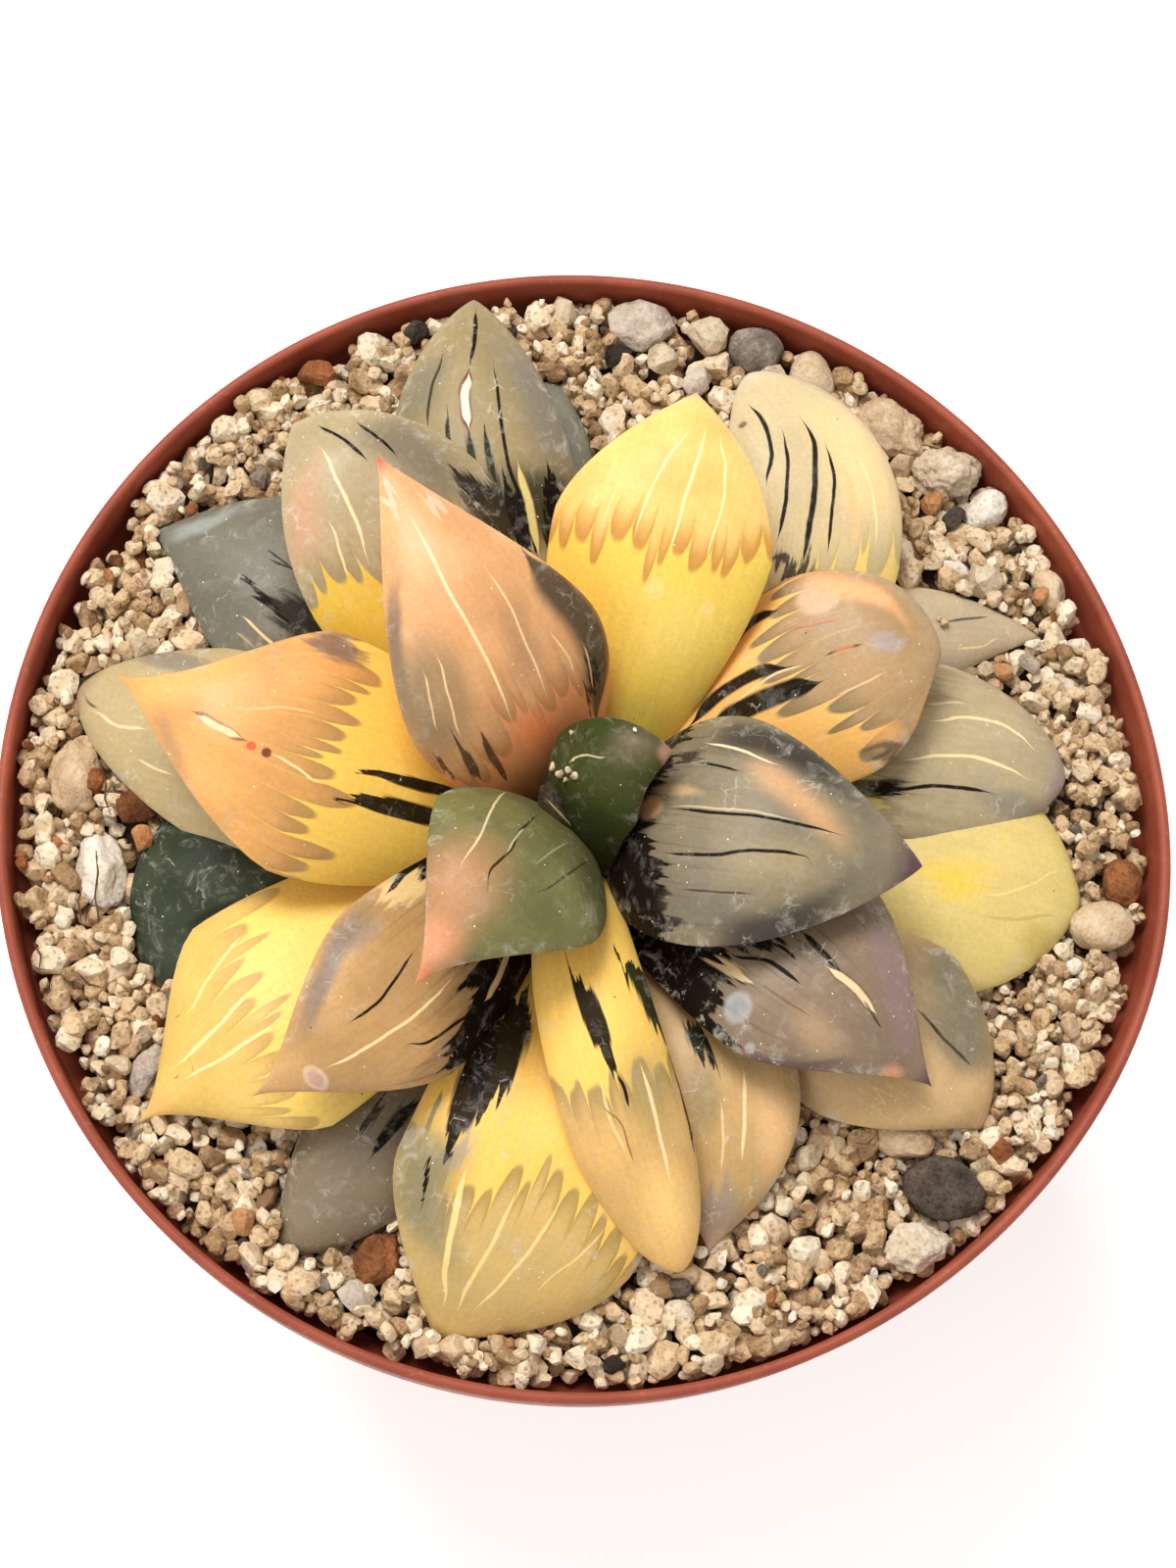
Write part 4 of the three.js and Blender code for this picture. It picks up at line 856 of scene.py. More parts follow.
@dataclass(frozen=True)
class LeafFinish:
    """Skin of a living window leaf: a waxy cuticle over clear flesh, a satin sheen with a soft glow.

    The mesh carries the attribute "skin": the place across as a share of the full width, the place along
    from root to tip, and how far up the section a point lies, from -1 at the keel to 1 at the crest. Its
    attribute "lines" is the place across the leaf at any width, from -1 to 1.
    """

    leaf: Leaf
    skin: Skin
    marks: "LeafMap"

    glow: float = 0.3  # share of the light that passes through the palest flesh
    glow_depth: float = 1.1  # mm that red light travels in it
    glow_tint: Triple = (1.0, 0.6, 0.3)  # how far red, green and blue travel, as shares of that
    gleam: Pair = (0.04, 0.28)  # the cuticle's reflection on the blackest and the palest flesh
    sheen: Pair = (0.36, 0.52)  # how rough it is at its glossiest and dullest
    cell: float = 0.35  # mm, the skin's fine grain
    cell_depth: float = 0.12  # mm
    cloud: float = 4.5  # mm, the slow change of tint in the window
    waver: float = 0.14  # mm, how far a line strays
    fray: Pair = (0.3, 3.4)  # mm, how far a frayed stripe strays across and along
    tear: Pair = (0.6, 3.2)  # mm, how far a ragged edge strays across and along
    taper: Triple = (0.45, 0.4, 0.28)  # share that thins out at the ends of a frayed, a broad, a plain one
    broad: float = 0.7  # a stroke that is softer than this is a broad shade
    lobe: float = 1.3  # mm, the mean width of a lobe of the window's edge
    lobe_stray: float = 2.2  # lobes, how far their sides stray from even steps
    plain_edge: float = 0.12  # where the window starts on a leaf whose window is everywhere
    deep_reach: float = 3.2  # mm, how far the deeper tint reaches beyond the window's edge
    trace_reach: float = 9.0  # mm, how far the lobes' sides run on as faint lines
    film: float = 1.5  # mm, the dried film's flecks, and the cells between its cracks
    crook: float = 1.6  # mm, how far the cracks bend
    cracked: float = 2.2  # mm, how wide a cracked place is
    film_tint: str = "c4beb0"
    crack_tint: str = "ded7c6"
    pit: tuple[float, float, float, str] = (1.9, 0.07, 0.25, "5a3f28")  # mm apart, mm, share, colour
    speck: tuple[float, float, float, str] = (0.85, 0.065, 0.5, "e2dccb")  # the same for dust
    cast: Triple = (1.0, 0.86, 0.78)  # the flesh's warm cast over all its tints

    def strayed(self, paint: Paint, flat: Socket, scale: Pair, reach: Pair) -> Socket:
        """Move the flat coordinates about by noise.

        Args:
            paint: the material.
            flat: millimetres across and along the leaf.
            scale: the noise's features per millimetre, across and along.
            reach: how far it moves them, mm across and along.

        Returns:
            The moved coordinates.
        """
        drawn = paint.vector("MULTIPLY_ADD", flat, (*scale, 1), (0, 0, self.leaf.number))
        stray = paint.add("TexNoise", {"Vector": drawn, "Scale": 1.0, "Detail": 3.0}).outputs["Color"]
        centred = paint.vector("SUBTRACT", stray, (0.5, 0.5, 0.5))
        return paint.vector("MULTIPLY_ADD", centred, (2 * reach[0], 2 * reach[1], 0), flat)

    def patch(self, paint: Paint, patch: Patch, flat: Socket, colour: Socket) -> Socket:
        """Lay one patch on the colour and return the result."""
        across, along = self.marks.place(patch.at)
        centre = (across * self.leaf.width, along * self.leaf.length(), 0)
        local = paint.add("Mapping", {"Vector": flat, "Location": centre, "Scale": (*patch.half, 1),
                                      "Rotation": (0, 0, math.radians(patch.turn))}, vector_type="TEXTURE")
        away = paint.add("VectorMath", {0: local.outputs[0]}, operation="LENGTH").outputs["Value"]
        share = paint.remap(away, 1.0, 1.0 - patch.soft, 0.0, patch.strength, "SMOOTHSTEP")
        return paint.mix(share, colour, patch.colour)

    def stroke(self, paint: Paint, stroke: Stroke, flat: Socket, colour: Socket) -> Socket:
        """Lay one stroke on the colour.

        Args:
            paint: the material.
            stroke: what to draw.
            flat: millimetres across and along the leaf, strayed as the stroke wants them.
            colour: the colour below.

        Returns:
            The colour with the stroke on it.
        """
        place = paint.vector("MULTIPLY", flat, (1 / self.leaf.width, 1 / self.leaf.length(), 0))
        across, along, _ = paint.add("SeparateXYZ", {0: place}).outputs
        route = sorted((y, x) for x, y in map(self.marks.place, stroke.path))
        first, last = route[0][0], route[-1][0]
        broad = stroke.soft > self.broad
        taper = self.taper[0 if stroke.ragged else 1 if broad else 2] * (last - first)
        ends = ((0.0, 0.0), (max(first - 0.004, 0.001), 0.0), (first + taper, 1.0), (last - taper, 1.0),
                (min(last + 0.004, 0.999), 0.0), (1.0, 0.0))
        line = paint.add("FloatCurve", {"Value": along}, points=tuple(spread(route))).outputs[0]
        reach = paint.add("FloatCurve", {"Value": along}, points=ends).outputs[0]
        outer = paint.calc("MULTIPLY", 1.0 if broad else reach, 0.5 * stroke.width / self.leaf.width)
        inner = paint.calc("MULTIPLY", outer, 1 - stroke.soft)
        away = paint.calc("ABSOLUTE", paint.calc("SUBTRACT", across, line))
        share = paint.remap(away, outer, inner, 0.0, stroke.strength, "SMOOTHSTEP")
        if broad:
            share = paint.calc("MULTIPLY", share, reach)
        return paint.mix(share, colour, stroke.colour)

    def window(self, paint: Paint, across: Socket, past: Socket) -> tuple[Socket, Socket, Socket]:
        """Draw the window's edge: round-ended lobes of uneven width, with a spike of the base between two.

        Args:
            paint: the material.
            across: the place across along the leaf's own lines, -1 to 1.
            past: millimetres beyond the window's edge, towards the tip.

        Returns:
            How clear the skin is, 0 on the opaque base and 1 in the window, how near a point is to the line
            between two lobes, 0 to 1, and how far it lies beyond the lobes' edge, in millimetres.
        """
        drift = paint.add("TexNoise", {"W": across, "Scale": 2.3, "Detail": 1.0}, noise_dimensions="1D")
        uneven = paint.calc("MULTIPLY_ADD", drift.outputs["Fac"], self.lobe_stray, self.leaf.number)
        lobes = paint.calc("MULTIPLY_ADD", across, self.leaf.width / 2 / self.lobe, uneven)
        ridge = paint.remap(paint.calc("FRACT", lobes), 0.0, 1.0, -1.0, 1.0)
        spike = paint.calc("POWER", paint.calc("ABSOLUTE", ridge), 3.0)
        lot = paint.add("TexWhiteNoise", {"W": paint.calc("FLOOR", lobes)}, noise_dimensions="1D")
        depth = self.skin.fingers * (0.4 if self.skin.torn else 1.0)
        shift = paint.calc("MULTIPLY_ADD", lot.outputs["Value"], 2.6 * depth, -1.6 * depth)
        reach = paint.calc("MULTIPLY_ADD", spike, 1.8 * depth, shift)
        over = paint.calc("SUBTRACT", past, reach)
        return paint.remap(over, -0.25, 0.35, curve="SMOOTHSTEP"), spike, over

    def specks(self, paint: Paint, spacing: float, size: float, share: float) -> Socket:
        """Return a mask of scattered specks.

        Args:
            paint: the material.
            spacing: mm between possible specks.
            size: the specks' radius, mm.
            share: share of the places that hold one.

        Returns:
            1 on a speck and 0 off it.
        """
        cells = paint.add("TexVoronoi", {"Vector": paint.place, "Scale": 1 / (spacing * MM)})
        near = paint.calc("LESS_THAN", cells.outputs["Distance"], size / spacing)
        pick = paint.add("SeparateColor", {0: cells.outputs["Color"]})
        return paint.calc("MULTIPLY", near, paint.calc("LESS_THAN", pick.outputs[0], share))

    def haze(self, paint: Paint, up: Socket, colour: Socket) -> Socket:
        """Lay the dried mineral film on the colour, thickest near the leaf's edges, and its cracks."""
        film = paint.noise(self.film, 8.0, Roughness=0.72, Distortion=0.6)
        spots = paint.remap(film.outputs["Fac"], 0.52, 0.66)
        near = paint.remap(paint.calc("ABSOLUTE", up), 0.75, 0.15, 0.25, 1.25)
        share = paint.calc("MULTIPLY", paint.calc("MULTIPLY", spots, near), 0.8 * self.skin.dust)
        colour = paint.mix(share, colour, self.film_tint)
        bent = paint.vector("MULTIPLY_ADD", film.outputs["Color"], (self.crook * MM,) * 3, paint.place)
        cracks = paint.add("TexVoronoi", {"Vector": bent, "Scale": 1 / (self.film * MM)},
                           feature="DISTANCE_TO_EDGE")
        line = paint.remap(cracks.outputs["Distance"], 0.04, 0.01)
        where = paint.noise(self.cracked, 3.0)
        here = paint.remap(where.outputs["Fac"], 0.58, 0.68, 0.0, 0.5 * self.skin.dust)
        return paint.mix(paint.calc("MULTIPLY", line, here), colour, self.crack_tint)

    def tints(self, paint: Paint, parted: Socket, across: Socket, cloudy: Socket) -> Socket:
        """Colour the base and the window.

        Args:
            paint: the material.
            parted: millimetres along the leaf, strayed as its window's edge is.
            across: the place across, 0 to 1, strayed in the same way.
            cloudy: which of the window's two tints shows, 0 to 1.

        Returns:
            The leaf's colour before anything is drawn on it.
        """
        skin, length = self.skin, self.leaf.length()
        lines = paint.add("Attribute", attribute_name="lines").outputs["Fac"]
        tint = paint.mix(cloudy, skin.window[0], skin.window[1])
        edge = self.plain_edge
        if skin.border:
            spots = sorted(self.marks.place(pixel) for pixel in skin.border)
            edge = paint.add("FloatCurve", {"Value": across}, points=tuple(spread(spots))).outputs[0]
        past = paint.calc("SUBTRACT", parted, paint.calc("MULTIPLY", edge, length))
        clear, spike, beyond = self.window(paint, lines, past)
        if skin.deep:
            near = paint.remap(beyond, self.deep_reach, 0.2, curve="SMOOTHSTEP")
            tint = paint.mix(near, tint, skin.deep)
        colour = paint.mix(clear, skin.base, tint)
        ridge = paint.remap(spike, 0.6, 1.0, 0.0, skin.trace)
        fading = paint.remap(beyond, self.trace_reach, 1.0)
        return paint.mix(paint.calc("MULTIPLY", ridge, fading), colour, skin.base)

    def edges(self, paint: Paint, along: Socket, up: Socket, colour: Socket) -> Socket:
        """Colour the tip and the margin, and return the result."""
        skin = self.skin
        if skin.tip:
            share = skin.tip_length / self.leaf.length()
            colour = paint.mix(paint.remap(along, 1 - share, 1 - 0.3 * share, 0.0, 0.9), colour, skin.tip)
        if skin.margin:
            line = paint.remap(paint.calc("ABSOLUTE", up), 0.16, 0.04)
            outer = paint.remap(along, 0.45, 0.7, 0.0, 0.8)
            colour = paint.mix(paint.calc("MULTIPLY", line, outer), colour, skin.margin)
        return colour

    def build(self) -> bpy.types.Material:
        """Make the material."""
        leaf, skin, length = self.leaf, self.skin, self.leaf.length()
        paint = Paint(f"succulent_leaf_skin_{leaf.number:02d}")
        here = paint.add("Attribute", attribute_name="skin").outputs["Vector"]
        _, along, up = paint.add("SeparateXYZ", {0: here}).outputs
        flat = paint.vector("MULTIPLY", here, (leaf.width, length, 0))
        steady = self.strayed(paint, flat, (0.7, 0.35), (self.waver, self.waver))
        ragged = self.strayed(paint, flat, (1.9, 0.28), self.tear)
        frayed = self.strayed(paint, flat, (2.6, 0.1), self.fray)
        parted = paint.add("SeparateXYZ", {0: ragged if skin.torn else steady}).outputs
        across = paint.calc("MULTIPLY", parted[0], 1 / leaf.width)
        clouds = paint.noise(self.cloud, 3.0).outputs["Fac"]
        colour = self.tints(paint, parted[1], across, paint.remap(clouds, 0.4, 0.6))
        for patch in PATCHES.get(leaf.number, ()):
            colour = self.patch(paint, patch, ragged if patch.ragged else steady, colour)
        for stroke in STROKES.get(leaf.number, ()):
            colour = self.stroke(paint, stroke, frayed if stroke.ragged else steady, colour)
        colour = self.edges(paint, along, up, colour)

        grain = paint.noise(self.cell, 4.0).outputs["Fac"]
        colour = paint.scaled(colour, paint.remap(grain, 0.3, 0.7, 0.93, 1.05))
        drawn = paint.vector("MULTIPLY", flat, (2.4, 0.16, 0))
        fibres = paint.add("TexNoise", {"Vector": drawn, "Scale": 1.0, "Detail": 3.0}).outputs["Fac"]
        streaks = paint.remap(fibres, 0.3, 0.7, 0.96, 1.03)
        colour = paint.scaled(colour, streaks)
        keel = paint.mix(streaks, BROWN, skin.back)
        colour = paint.mix(paint.remap(up, -0.05, -0.3), colour, keel)
        colour = self.haze(paint, up, paint.vector("MULTIPLY", colour, self.cast))
        for (spacing, size, share, tint), dust in ((self.pit, 1.0), (self.speck, skin.dust)):
            colour = paint.mix(self.specks(paint, spacing, size, share * dust), colour, tint)

        pale = paint.remap(paint.add("RGBToBW", {"Color": colour}).outputs[0], 0.015, 0.16)
        return paint.done({
            "Base Color": colour,
            "Roughness": paint.remap(clouds, 0.3, 0.7, *self.sheen),
            "Normal": paint.relief(grain, 0.25, self.cell_depth),
            "Subsurface Weight": paint.calc("MULTIPLY", pale, self.glow),
            "Subsurface Radius": self.glow_tint,
            "Subsurface Scale": self.glow_depth * MM,
            "Specular IOR Level": paint.remap(pale, 0.0, 1.0, *self.gleam),
        })


def spread(points: list[Pair], least: float = 0.012) -> list[Pair]:
    """Keep a curve's points apart, hold its ends level out to 0 and 1, and return them in order."""
    kept = [points[0]]
    for point in points[1:]:
        if point[0] - kept[-1][0] >= least:
            kept.append(point)
    inner = [(min(max(x, 0.004), 0.996), min(max(y, 0.0), 1.0)) for x, y in kept]
    return [(0.0, inner[0][1]), *inner, (1.0, inner[-1][1])]


@dataclass(frozen=True)
class MineralFinish:
    """Broken rock such as pumice or lava: dull, clouded and speckled, with open pores where it is airy;
    painted shade darkens the pores.
    """

    name: str
    tints: tuple[str, ...]  # from the darkest grains to the palest
    # painted shade in the pores: how much it darkens them
    pore_shade: float = 0.15  # how much its pores darken it, 0 to 1
    cloud: float = 1.6  # mm
    grain: float = 0.28  # mm, the crystals' size
    pore: float = 0.55  # mm between pores
    bend: float = 0.3  # mm, how far a pore's edge strays
    shift: float = 0.34  # how far the tint strays within one grain, as a share of the ramp
    relief: float = 0.2  # mm
    rough: float = 0.95
    gleam: float = 0.2

    def build(self) -> bpy.types.Material:
        """Make the material. A mesh may carry the attribute "tone", a number for each grain from 0 to 1."""
        paint = Paint(self.name)
        tone = paint.add("Attribute", attribute_name="tone").outputs["Fac"]
        clouds = paint.noise(self.cloud, 3.0).outputs["Fac"]
        speckle = paint.noise(self.grain, 5.0, Roughness=0.7)
        both = paint.calc("ADD", clouds, speckle.outputs["Fac"])
        mixed = paint.calc("ADD", tone, paint.remap(both, 0.7, 1.3, -self.shift, self.shift))
        steps = len(self.tints) - 1
        ramp = paint.add("ValToRGB", {0: mixed},
                         stops=tuple((i / steps, tint) for i, tint in enumerate(self.tints)))
        bent = paint.vector("MULTIPLY_ADD", speckle.outputs["Color"], (self.bend * MM,) * 3, paint.place)
        cells = paint.add("TexVoronoi", {"Vector": bent, "Scale": 1 / (self.pore * MM)})
        # painted shade: each pore darker towards its middle; the same mask gives the pores' relief
        pore_shade_and_depth = paint.remap(cells.outputs["Distance"], 0.08, 0.4, 1 - self.pore_shade, 1.0)
        return paint.done({
            "Base Color": paint.scaled(ramp.outputs[0], pore_shade_and_depth),
            "Normal": paint.relief(paint.calc("ADD", pore_shade_and_depth, both), 0.9, self.relief),
            "Roughness": self.rough,
            "Specular IOR Level": self.gleam,
        })


@dataclass(frozen=True)
class PotFinish:
    """Terracotta-coloured polypropylene, injection-moulded: a soft sheen, flow marks and fine scuffs."""

    colour: str = "9a4a33"
    shade: str = "8b402c"
    dust: str = "b58a6e"
    flow: float = 180.0  # flow marks in a metre round the wall
    scuff: float = 2200.0  # scuffs in a metre
    stretch: Triple = (1, 1, 0.15)  # how the flow marks run up the wall
    sheen: Pair = (0.45, 0.62)  # how rough it is at its glossiest and dullest
    relief: float = 0.1  # mm
    gleam: float = 0.3

    def build(self) -> bpy.types.Material:
        """Make the material."""
        paint = Paint("terracotta_polypropylene")
        run = paint.add("Mapping", {"Vector": paint.place, "Scale": self.stretch}).outputs[0]
        marks = paint.add("TexNoise", {"Vector": run, "Scale": self.flow, "Detail": 4.0}).outputs["Fac"]
        scuffs = paint.add("TexNoise", {"Vector": paint.place, "Scale": self.scuff, "Detail": 3.0})
        fine = scuffs.outputs["Fac"]
        colour = paint.mix(paint.remap(marks, 0.35, 0.65), self.colour, self.shade)
        return paint.done({
            "Base Color": paint.mix(paint.remap(fine, 0.62, 0.74, 0.0, 0.25), colour, self.dust),
            "Roughness": paint.remap(marks, 0.0, 1.0, *self.sheen),
            "Normal": paint.relief(fine, 0.15, self.relief),
            "Specular IOR Level": self.gleam,
        })


@dataclass(frozen=True)
class EarthFinish:
    """Loose organic stuff, such as soil or bark: crumbly, dull and dark, with pale bits."""

    name: str
    dark: str
    light: str
    crumb: float  # mm
    relief: float = 0.5  # mm
    rough: float = 0.95

    def build(self) -> bpy.types.Material:
        """Make the material."""
        paint = Paint(self.name)
        crumbs = paint.noise(self.crumb, 6.0, Roughness=0.7).outputs["Fac"]
        ramp = paint.add("ValToRGB", {0: crumbs}, stops=((0.35, self.dark), (0.7, self.light)))
        return paint.done({
            "Base Color": ramp.outputs[0],
            "Normal": paint.relief(crumbs, 0.9, self.relief),
            "Roughness": self.rough,
        })


# ---------------- the plant
class LeafMap:
    """Finds where a pixel of the photograph lies on one leaf's upper face."""

    def __init__(self, bm: bmesh.types.BMesh, view: View) -> None:
        """Take a leaf's mesh, with its "skin" layer, and the camera."""
        faces = bm.copy()
        bmesh.ops.triangulate(faces, faces=faces.faces[:])
        skin = faces.verts.layers.float_vector["skin"]
        faces.faces.ensure_lookup_table()
        self.view = view
        self.tree = BVHTree.FromBMesh(faces)
        self.corners = [[(vert.co.copy(), vert[skin].copy()) for vert in face.verts] for face in faces.faces]
        self.seen = [(view.pixel(vert.co), vert[skin].copy()) for vert in faces.verts if vert[skin].z >= 0]
        faces.free()

    def place(self, pixel: Pixel) -> Pair:
        """Return the place across and along the leaf, each as a share, under a pixel.

        Args:
            pixel: a place in the photograph. Beside the leaf, the nearest point of it is taken.

        Returns:
            The place across, 0 to 1, and the place along, 0 root to 1 tip.
        """
        hit, _, index, _ = self.tree.ray_cast(*self.view.ray(pixel))
        if hit is None:
            spot = min(self.seen, key=lambda item: math.dist(item[0], pixel))[1]
            return spot.x, spot.y
        (a, skin_a), (b, skin_b), (c, skin_c) = self.corners[index]
        spot = barycentric_transform(hit, a, b, c, skin_a, skin_b, skin_c)
        return spot.x, spot.y


@dataclass
class Rosette:
    """The leaves, each grown along its own curve from the stem."""

    view: View
    around: int = 56  # points round a leaf's section
    rings: int = 44  # sections along it
    puckers: float = 0.1  # mm, slow unevenness of a living leaf
    pucker_size: float = 5.0  # mm
    crown_powers: Triple = (0.9, 2.4, 0.8)  # of the width, of the place across and of the rounding
    keel_powers: Triple = (0.8, 1.6, 0.87)
    pole: float = 1e-5  # nearer the sphere's axis than this a point is its pole
    top: float = cad_box[1][2] / MM - 0.02

    def form(self, leaf: Leaf) -> bmesh.types.BMesh:
        """Model one leaf.

        Args:
            leaf: its sizes.

        Returns:
            A closed mesh in millimetres, with the "skin" layer filled in.
        """
        root, bend, tip = leaf.line()
        span = (tip - root).normalized()
        side = Quaternion(span, math.radians(leaf.roll)) @ Vector((span.y, -span.x, 0)).normalized()
        bm = bmesh.new()
        skin = bm.verts.layers.float_vector.new("skin")
        lines = bm.verts.layers.float.new("lines")
        bmesh.ops.create_uvsphere(bm, u_segments=self.around, v_segments=self.rings, radius=1)
        for vert in bm.verts:
            along = (1 - vert.co.z) / 2
            ring = math.hypot(vert.co.x, vert.co.y)
            across, up = (vert.co.x / ring, vert.co.y / ring) if ring > self.pole else (0.0, 0.0)
            centre = root * (1 - along) ** 2 + bend * 2 * along * (1 - along) + tip * along ** 2
            forward = ((bend - root) * (1 - along) + (tip - bend) * along).normalized()
            lateral = (side - forward * side.dot(forward)).normalized()
            normal = lateral.cross(forward)
            width = leaf.outline(along) if ring > self.pole else 0.0
            thick, (a, b, c) = (leaf.crown, self.crown_powers) if up > 0 else (-leaf.keel, self.keel_powers)
            face = thick * width ** a * max(0.0, 1 - abs(across) ** b) ** c
            place = centre + lateral * (leaf.width / 2 * width * across) + normal * face
            pucker = noise.noise(place / self.pucker_size + Vector((leaf.number, 0, 0)))
            place += normal * (self.puckers * pucker * (1 if up > 0 else -1) * min(1.0, ring * 2))
            place.z = min(place.z, self.top)
            vert.co = place
            vert[skin] = (0.5 + 0.5 * across * width, along, up)
            vert[lines] = across
        face_out(bm)
        return bm

    def build(self) -> list[bpy.types.Object]:
        """Model and dress every leaf."""
        skins = {skin.number: skin for skin in SKINS}
        pieces = []
        for leaf in LEAVES:
            bm = self.form(leaf)
            finish = LeafFinish(leaf, skins[leaf.number], LeafMap(bm, self.view)).build()
            pieces.append(new_piece(f"{leaf.name}_flesh", bm, finish, (leaf.name,)))
        return pieces


# ---------------- the pot
@dataclass
class NurseryPot:
    """Thin-walled round pot with an upright collar, a rounded lip and a ring of drain holes."""

    height: float = 68.0
    rim_radius: float = 45.0
    foot_radius: float = 31.2
    wall: float = 0.9
    collar_height: float = 5.0
    collar_step: float = 1.3
    foot_lift: float = 1.2
    floor: float = 1.3
    hole_radius: float = 3.0
    hole_circle: float = 18.0
    holes: int = 6
    bulge: float = 1.1
    bulge_heading: float = -3.0
    bulge_spread: float = 24.0
    steps: int = 200

    def wall_radius(self, height: float) -> float:
        """Return the outer radius of the tapered wall at a height."""
        share = height / (self.height - self.collar_height)
        foot = self.foot_radius + 0.6
        return foot + (self.rim_radius - self.collar_step - foot) * share

    def push(self, x: float, y: float, z: float) -> float:
        """Return how far a point near the wall is pushed out where the pot is out of round."""
        away = (math.degrees(math.atan2(y, x)) - self.bulge_heading + 180) % 360 - 180
        share = (z / self.height) ** 2 * math.hypot(x, y) / self.rim_radius
        return self.bulge * share * math.exp(-(away / self.bulge_spread) ** 2)

    def profile(self) -> list[tuple[float, float]]:
        """Return the section's outline as (radius, height) points, from the floor's underside to its top."""
        collar = self.height - self.collar_height
        floor_top = self.foot_lift + self.floor
        half = self.wall / 2
        lip = [(self.rim_radius - half + half * math.cos(math.radians(a)),
                self.height - half + half * math.sin(math.radians(a))) for a in range(0, 181, 20)]
        return [
            (0, self.foot_lift),
            (self.foot_radius - 2.6, self.foot_lift),
            (self.foot_radius - 2.2, self.foot_lift - 0.3),
            (self.foot_radius - 2.0, 0),
            (self.foot_radius - 0.3, 0),
            (self.foot_radius + 0.1, 0.25),
            (self.wall_radius(1), 1),
            *((self.wall_radius(z), z) for z in range(6, int(collar) - 2, 6)),
            (self.wall_radius(collar - 0.9), collar - 0.9),
            (self.wall_radius(collar - 0.7) + 0.15, collar - 0.7),
            (self.rim_radius - 0.45, collar - 0.3),
            (self.rim_radius - 0.15, collar + 0.1),
            *lip,
            (self.rim_radius - self.wall - 0.12, collar + 0.6),
            (self.rim_radius - self.wall - 0.35, collar + 0.1),
            (self.wall_radius(collar - 0.8) - self.wall, collar - 0.8),
            *((self.wall_radius(z) - self.wall, z) for z in range(int(collar) - 5, 6, -8)),
            (self.wall_radius(floor_top) - self.wall, floor_top),
            (0, floor_top),
        ]

    def build(self) -> bpy.types.Object:
        """Spin the section, push the wall out of round and drill the floor."""
        bm = bmesh.new()
        points = [bm.verts.new((radius, 0, height)) for radius, height in self.profile()]
        edges = [bm.edges.new(pair) for pair in zip(points, points[1:])]
        bmesh.ops.spin(bm, geom=points + edges, cent=(0, 0, 0), axis=(0, 0, 1), angle=2 * math.pi,
                       steps=self.steps, use_merge=True)
        bmesh.ops.remove_doubles(bm, verts=bm.verts[:], dist=1e-4)
        for vert in bm.verts:
            radius = math.hypot(vert.co.x, vert.co.y)
            if radius > 1:
                grown = (radius + self.push(*vert.co)) / radius
                vert.co.x *= grown
                vert.co.y *= grown
        face_out(bm)
        piece = new_piece("nursery_pot", bm, PotFinish().build(), ("pot",))
        self.drill(piece)
        return piece

    def drill(self, piece: bpy.types.Object) -> None:
        """Cut the drain holes through the pot's floor."""
        bm = bmesh.new()
        for i in range(self.holes):
            turn = 2 * math.pi * i / self.holes
            x, y = self.hole_circle * math.cos(turn), self.hole_circle * math.sin(turn)
            place = Vector((x, y, self.foot_lift))
            bmesh.ops.create_cone(bm, cap_ends=True, segments=32, radius1=self.hole_radius,
                                  radius2=self.hole_radius, depth=6, matrix=Matrix.Translation(place))
        bm.transform(TO_FRAME)
        drill = to_object("drill", bm)
        mesh = drill.data
        cut = piece.modifiers.new("holes", "BOOLEAN")
        cut.operation = "DIFFERENCE"
        cut.object = drill
        evaluated = piece.evaluated_get(bpy.context.evaluated_depsgraph_get())
        drilled = bpy.data.meshes.new_from_object(evaluated)
        piece.modifiers.clear()
        piece.data = drilled
        bpy.data.objects.remove(drill)
        bpy.data.meshes.remove(mesh)


# ---------------- stones and gravel
@dataclass(frozen=True)
class Stone:
    """One larger loose stone: the place of its middle, its half sizes, its turn about +Z and its tone."""

    number: int
    at: Pair
    half: Triple
    turn: float
    tone: float
    pitted: float = 0.05  # how deep its fine lumps are, as a share of its size
    broken: float = 1.0  # how sharp its breaks are, 0 for a worn pebble


STONES = (
    Stone(1, (-2.5, 41.5), (2.9, 2.1, 1.7), 10, 0.8, pitted=0.06),
    Stone(2, (7.1, 41.3), (2.4, 1.85, 1.6), -10, 0.25, pitted=0.02, broken=0.5),
    Stone(3, (11.9, 39.7), (1.85, 2.2, 1.7), 12, 0.75, pitted=0.02, broken=0.2),
    Stone(4, (19.2, 36.7), (2.9, 2.4, 1.9), -35, 0.7, pitted=0.1),
    Stone(5, (23.8, 33.8), (2.7, 2.3, 1.9), 20, 0.4, pitted=0.16, broken=0.4),
    Stone(6, (27.5, 31.3), (2.0, 1.5, 1.4), 50, 0.95, broken=0.4),
    Stone(7, (42.4, 3.0), (1.7, 1.9, 1.5), 0, 0.5, broken=0.6),
    Stone(8, (41.2, -0.8), (2.8, 1.9, 1.5), 14, 0.75, pitted=0.03, broken=0.5),
    Stone(9, (32.2, -23.3), (3.3, 2.5, 1.8), -10, 0.35, pitted=0.04, broken=0.3),
    Stone(10, (30.8, -28.1), (2.5, 1.9, 1.5), 20, 0.6, pitted=0.12),
    Stone(11, (28.6, -20.2), (2.2, 1.7, 1.5), -8, 0.6, pitted=0.07),
    Stone(12, (-8.8, -36.4), (1.7, 2.1, 1.6), -20, 0.35, pitted=0.1),
    Stone(13, (-39.2, -3.8), (2.2, 3.2, 1.9), 8, 0.6, pitted=0.08, broken=0.8),
    Stone(14, (-35.7, -10.9), (1.9, 3.2, 1.4), 20, 0.85),
    Stone(15, (-28.8, -25.6), (1.3, 2.3, 1.3), -12, 0.6),
    Stone(16, (33.5, 25.8), (1.3, 1.9, 1.3), 30, 0.9, broken=0.7),
)


